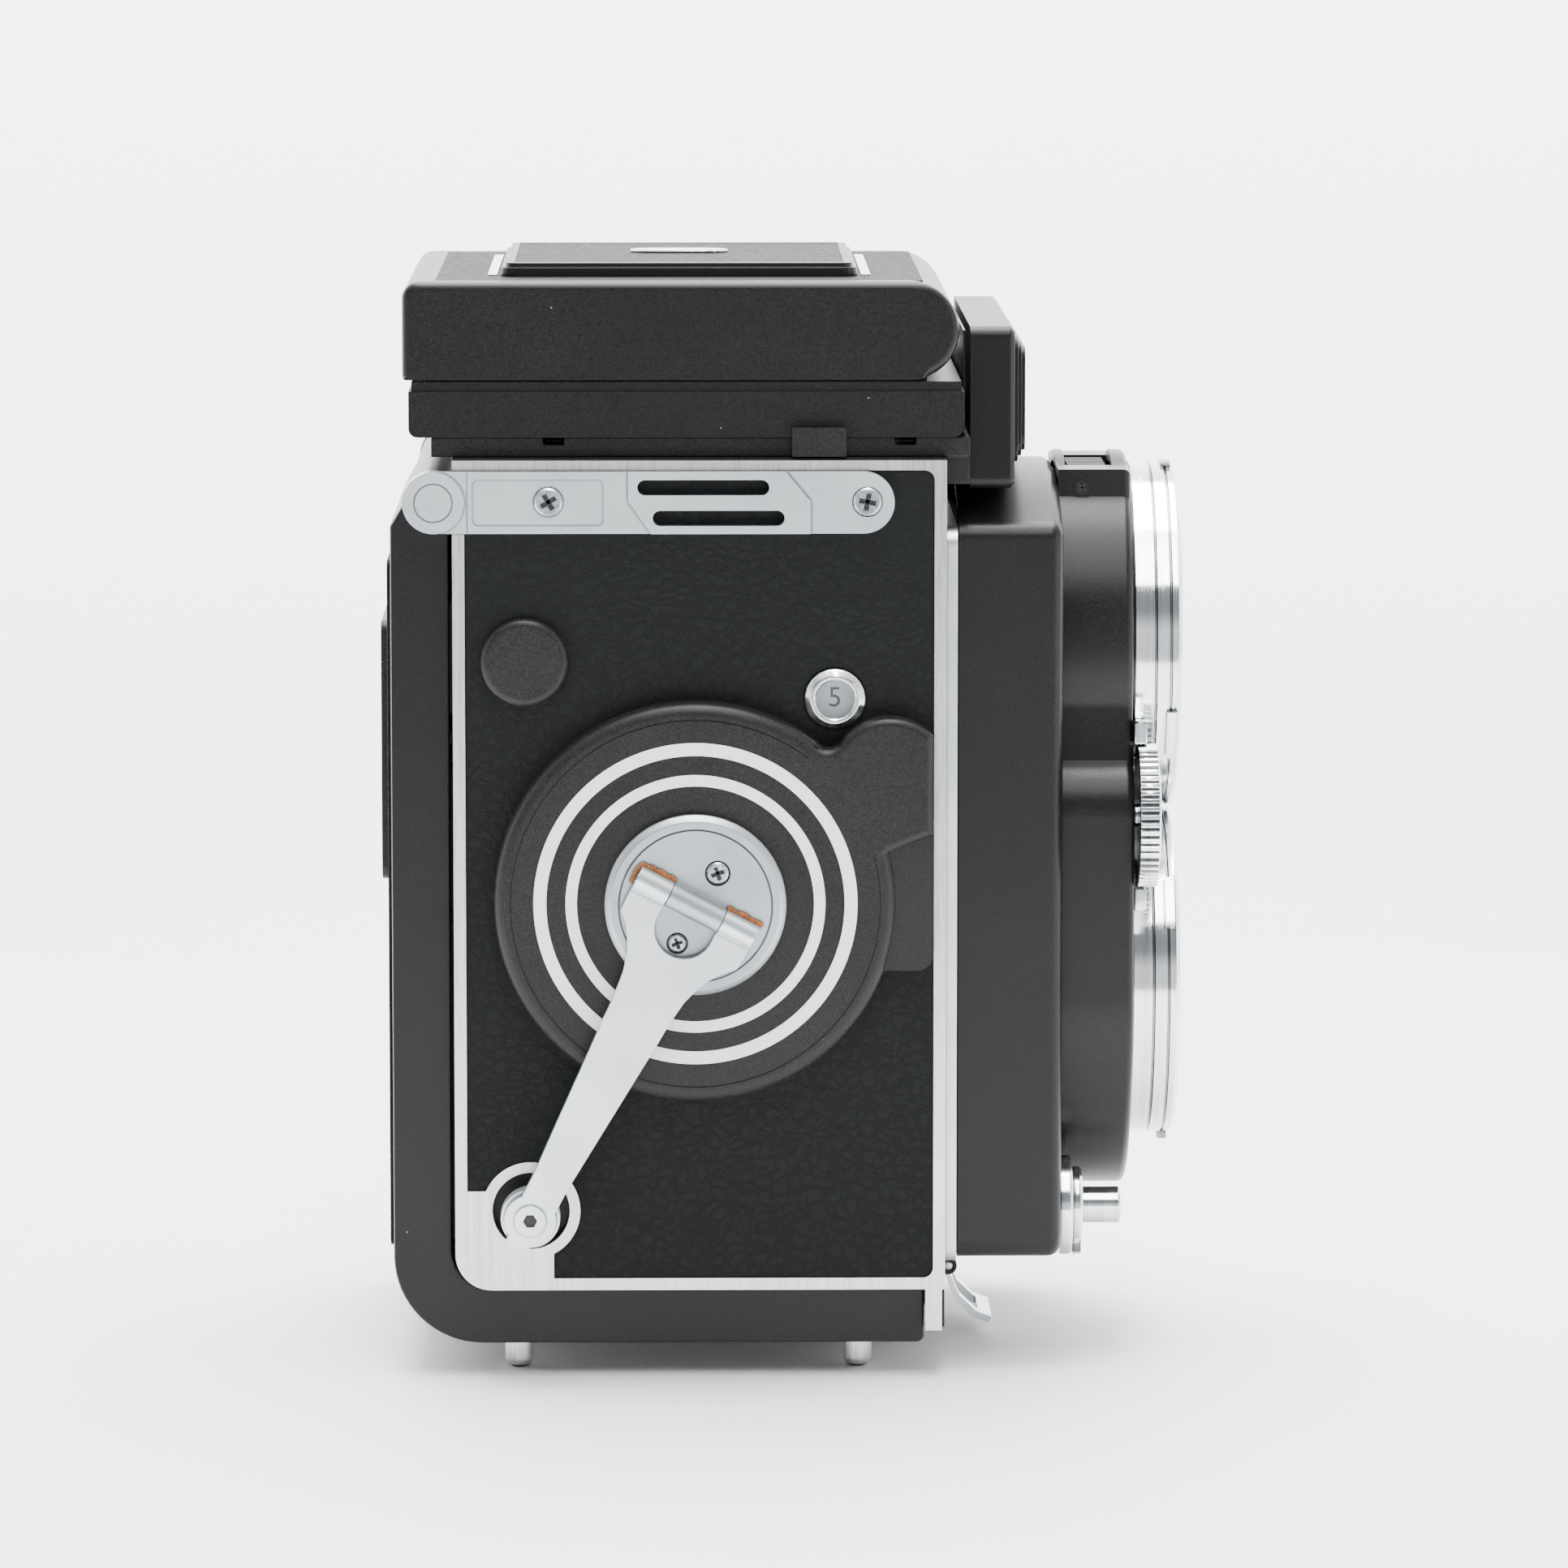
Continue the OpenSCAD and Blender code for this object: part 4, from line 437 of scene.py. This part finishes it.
def finish_piece(node):
    """A merged, edge-rounded copy of one CAD node, in its material."""
    only(frame["nodes"][node])
    bpy.ops.object.duplicate()
    o = bpy.context.active_object
    o.name = o.data.name = node + "_finish"
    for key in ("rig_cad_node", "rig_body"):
        if key in o:
            del o[key]
    only(o)
    bpy.ops.object.parent_clear(type="CLEAR_KEEP_TRANSFORM")
    bpy.ops.mesh.customdata_custom_splitnormals_clear()
    bpy.ops.object.mode_set(mode="EDIT")
    bpy.ops.mesh.select_all(action="SELECT")
    bpy.ops.mesh.remove_doubles(threshold=0.004 * MM)
    bpy.ops.mesh.dissolve_limited(angle_limit=math.radians(0.6))
    bpy.ops.mesh.normals_make_consistent(inside=False)
    bpy.ops.object.mode_set(mode="OBJECT")
    for width_mm, segments, test in ROUNDED.get(node, []):
        round_chosen(o, width_mm, segments, test)
    round_edges(o, EDGE_MM.get(node, USUAL_EDGE_MM))
    dress(o, FINISH.get(node, SLOTS[node]), BODY_OF[node])
    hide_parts(node)


for node in frame["nodes"]:
    finish_piece(node)

# ------------------------------------------------------------------ small details that the CAD leaves out

SIDE = (0.0, -math.pi / 2, 0.0)          # turns a disc drawn up +Z to face the crank side
STRAIGHT = (0.0, 0.0, 0.0)


def settle(o):
    """Moves an object's placement into its mesh, so that it sits at the origin."""
    only(o)
    bpy.ops.object.transform_apply(location=True, rotation=True, scale=True)


def disc(name, at_mm, r_mm, t_mm, turn, material, body, sides=64, edge_mm=0.05):
    """A thin round or many-sided piece, its middle at at_mm."""
    bpy.ops.object.select_all(action="DESELECT")
    bpy.ops.mesh.primitive_cylinder_add(vertices=sides, radius=r_mm * MM, depth=t_mm * MM,
                                        location=[c * MM for c in at_mm], rotation=turn)
    o = bpy.context.active_object
    o.name = o.data.name = name
    settle(o)
    round_edges(o, edge_mm)
    dress(o, material, body)


def bar(name, at_mm, size_mm, turn, material, body, edge_mm=0.04):
    """A small block, its middle at at_mm."""
    bpy.ops.object.select_all(action="DESELECT")
    bpy.ops.mesh.primitive_cube_add(size=1, location=[c * MM for c in at_mm], rotation=turn)
    o = bpy.context.active_object
    o.scale = [c * MM for c in size_mm]
    o.name = o.data.name = name
    settle(o)
    round_edges(o, edge_mm)
    dress(o, material, body)


def figure(name, words, at_mm, height_mm, turn, material, body):
    """A raised number, a few hundredths of a millimetre thick."""
    size_per_height = 1.4
    bpy.ops.object.select_all(action="DESELECT")
    bpy.ops.object.text_add(location=[c * MM for c in at_mm], rotation=turn)
    o = bpy.context.active_object
    o.data.body, o.data.size = words, height_mm * MM * size_per_height
    o.data.align_x, o.data.align_y, o.data.extrude = "CENTER", "CENTER", 0.02 * MM
    o.data.resolution_u = 6
    only(o)
    bpy.ops.object.convert(target="MESH")
    o = bpy.context.active_object
    o.name = o.data.name = name
    settle(o)
    dress(o, material, body)


# odd numbers to 11 on the frame counter's dial, the fifth in the window
DIAL = (-36.9, -21.4, 82.0)
NUMBER_R = 4.0
for number in range(1, 12, 2):
    swing = math.radians(360 / 12 * (number - 5))
    place = (DIAL[0], DIAL[1] - NUMBER_R * math.sin(swing), DIAL[2] + NUMBER_R * math.cos(swing))
    height_mm = 2.7 if number < 10 else 2.2
    figure(f"dial_number_{number}", str(number), place, height_mm, (math.pi / 2, 0.0, -math.pi / 2),
           "ink", "counter")

# blackened cross-head screws high on the cover's two sides
COVER_SCREW = (15.02, -54.8, 111.7)
SLOT_OUT = 0.11
for side in (-1, 1):
    x, y, z = COVER_SCREW
    disc(f"cover_screw_{side}", (side * x, y, z), 1.05, 0.24, SIDE, "dark_screw",
         "standard")
    # the cross slots are dark bars on the head: painted shade in the slot recesses
    for turn in (40, 130):
        bar(f"cover_screw_slot_{side}_{turn}", (side * (x + SLOT_OUT), y, z), (0.06, 1.3, 0.28),
            (math.radians(turn), 0.0, 0.0), "ink", "standard", 0.0)

# painted shade at the bottoms of the cross recesses: middle in mm, radius of the head, turn and body
BRACKET_SCREWS = [(-39.31, y, 112.0, 1.9, 15 + y, "body") for y in (16, -25.6)]
HUB_SCREWS = [(-43.87, -6.0, 63.8, 1.5, 20, "crank"), (-43.87, -0.7, 54.6, 1.25, 20, "crank")]
for number, (x, y, z, r_mm, turn, body) in enumerate(BRACKET_SCREWS + HUB_SCREWS):
    for quarter in (0, 90):
        bar(f"recess_{number}_{quarter}", (x, y, z), (0.03, r_mm, 0.26 * r_mm),
            (math.radians(quarter - turn), 0.0, 0.0), "shaded_steel", body, 0.0)

# dark hexagon at the bottom of the crank knob's socket: painted shade in the socket
disc("knob_socket_shade", (-45.75, 18.61, 18.15), 0.88, 0.1, SIDE, "ink", "crank_knob",
     6, 0.0)

# black strip behind the lid's round end, over the hood's front hinge
bar("hinge_strip", (0.0, -38.45, 127.2), (62.0, 0.3, 13.2), STRAIGHT, "black_plastic",
    "body", 0.05)

# seam beside the strap bracket's knuckle
bar("bracket_seam", (-39.51, 26.6, 111.9), (0.03, 0.07, 7.9), STRAIGHT, "dark_screw",
    "body", 0.0)

# worn cork friction pads that show beside the arm's two knuckles, in the crank's own turned frame
CRANK_TURN = math.radians(27.7)
HUB_FACE = HOUSING[0][0] - 1.9
CORK_START, CORK_STEP, CORK_LINE = 4.1, 0.45, 1.72
random.seed(7)


def in_crank(across_mm, along_mm):
    """Place on the hub: across along the fold axis, along away from the arm, as Y and Z in mm."""
    c, n = math.cos(CRANK_TURN), math.sin(CRANK_TURN)
    return CRANK[0] + across_mm * c - along_mm * n, CRANK[1] + across_mm * n + along_mm * c


def cork_crumb(name, x, place, size_mm, sway):
    """A crumb of cork on the hub's face, turned up to sway radians either way."""
    turn = CRANK_TURN + random.uniform(-sway, sway)
    bar(name, (x, *place), size_mm, (turn, 0.0, 0.0), "cork", "crank", 0.08)


for side in (-1, 1):
    for crumb in range(11):
        across = side * (CORK_START + CORK_STEP * crumb)
        place = in_crank(across, CORK_LINE + random.uniform(-0.08, 0.12))
        size = (0.34 + random.uniform(0, 0.2), 0.62, 0.7 + random.uniform(-0.15, 0.2))
        cork_crumb(f"cork_{side}_{crumb}", HUB_FACE - size[0] / 2, place, size, 0.5)
for crumb in range(5):
    place = in_crank(9.0 + random.uniform(-0.1, 0.1), 1.2 - 0.5 * crumb)
    cork_crumb(f"cork_end_{crumb}", HUB_FACE - 0.2, place, (0.4, 0.5, 0.55), 0.4)

# ribbed strip at the bottom of the settings window
RIBS, RIB_PITCH = 9, 1.7
for rib in range(RIBS):
    x = RIB_PITCH * (rib - (RIBS - 1) / 2)
    bar(f"window_rib_{rib}", (x, COVER[0][1] + 5.4, COVER[1][2] - 1.9), (0.7, 5.2, 0.5), STRAIGHT,
        "ink", "standard", 0.1)

# ------------------------------------------------------------------ surroundings, light and camera

# a pale table under the feet
FLOOR_Z = -4.4 * MM
bpy.ops.mesh.primitive_plane_add(size=1, location=(0.1, 0, FLOOR_Z))
floor = bpy.context.active_object
floor.name = "floor"
floor.scale = (1.0, 1.8, 1.0)
settle(floor)
white, t, at = new_material("white table")
close(t, {"Base Color": ramp(t, grain(t, at, 60.0, 2.0), (0.2, "#f4f4f3"), (0.8, "#f8f8f8"))},
      {"Roughness": 0.6, "IOR": 1.45})
floor.data.materials.append(white)

world = bpy.data.worlds.new("light tent")
bpy.context.scene.world = world
world.use_nodes = True
wt = world.node_tree
wt.nodes.clear()
# a tent whose shade changes with height, and from the side that the crank faces to the far side
way = add(wt, "ShaderNodeTexCoord").outputs["Generated"]
parts = add(wt, "ShaderNodeSeparateXYZ", {"Vector": way})
height, depth = parts.outputs["Z"], parts.outputs["X"]
# side that the crank faces: a grey horizon, dim above it, bright again overhead
level = between(wt, height, 0.0, 1.0, -1.0, 1.0)
near = ramp(wt, level, (0.0, "#6c6c6e"), (0.46, "#7e7f81"), (0.57, "#868789"), (0.66, "#4b4c4e"),
            (0.82, "#454648"), (0.93, "#a8a8aa"), (1.0, "#bdbdbe"))
# far side: white down to the table's edge and a little less below it, grey overhead
low = between(wt, height, 0.95, 1.2, -0.125, -0.02)
wall = add(wt, "ShaderNodeVectorMath", {"Scale": low}, {0: (1.0, 1.0, 1.0)}, operation="SCALE")
over = between(wt, height, 0.0, 1.0, 0.35, 0.95)
far = blend(wt, over, wall.outputs["Vector"], ramp(wt, over, (0.0, "#b9b9ba"), (1.0, "#c4c4c5")))
glow = blend(wt, between(wt, depth, 0.0, 1.0, -0.35, 0.6), near, far)
back = add(wt, "ShaderNodeBackground", {"Color": glow}, {"Strength": 5.0})
add(wt, "ShaderNodeOutputWorld", {"Surface": back.outputs["Background"]})


def softbox(name, at, width, depth, watts):
    """A rectangular soft light aimed at the object's middle."""
    lamp = bpy.data.lights.new(name, "AREA")
    lamp.shape, lamp.size, lamp.size_y, lamp.energy = "RECTANGLE", width, depth, watts
    o = bpy.data.objects.new(name, lamp)
    o.location = at
    o.rotation_euler = (MIDDLE - Vector(at)).to_track_quat("-Z", "Y").to_euler()
    bpy.context.scene.collection.objects.link(o)


MIDDLE = Vector((0.0, -0.012, 0.065))
softbox("top light", (0.25, -0.03, 1.2), 0.8, 1.0, 46)
softbox("side light", (-0.45, -0.06, 0.95), 0.16, 0.9, 7)
softbox("lens side light", (-0.60, -0.95, 0.35), 0.16, 0.8, 3)

# about 1.1 m away on the crank side, a little above the object and looking slightly down
PITCH, YAW = math.radians(7.14), math.radians(0.77)
cam = bpy.data.cameras.new("camera")
cam.lens, cam.sensor_width = 185.67, 36.0
cam.clip_start, cam.clip_end = 0.05, 20.0
camera = bpy.data.objects.new("camera", cam)
bpy.context.scene.collection.objects.link(camera)
camera.location = (-1.0895, -0.0006, 0.2065)
look = Vector((math.cos(PITCH) * math.cos(YAW), -math.cos(PITCH) * math.sin(YAW), -math.sin(PITCH)))
camera.rotation_euler = look.to_track_quat("-Z", "Y").to_euler()
bpy.context.scene.camera = camera
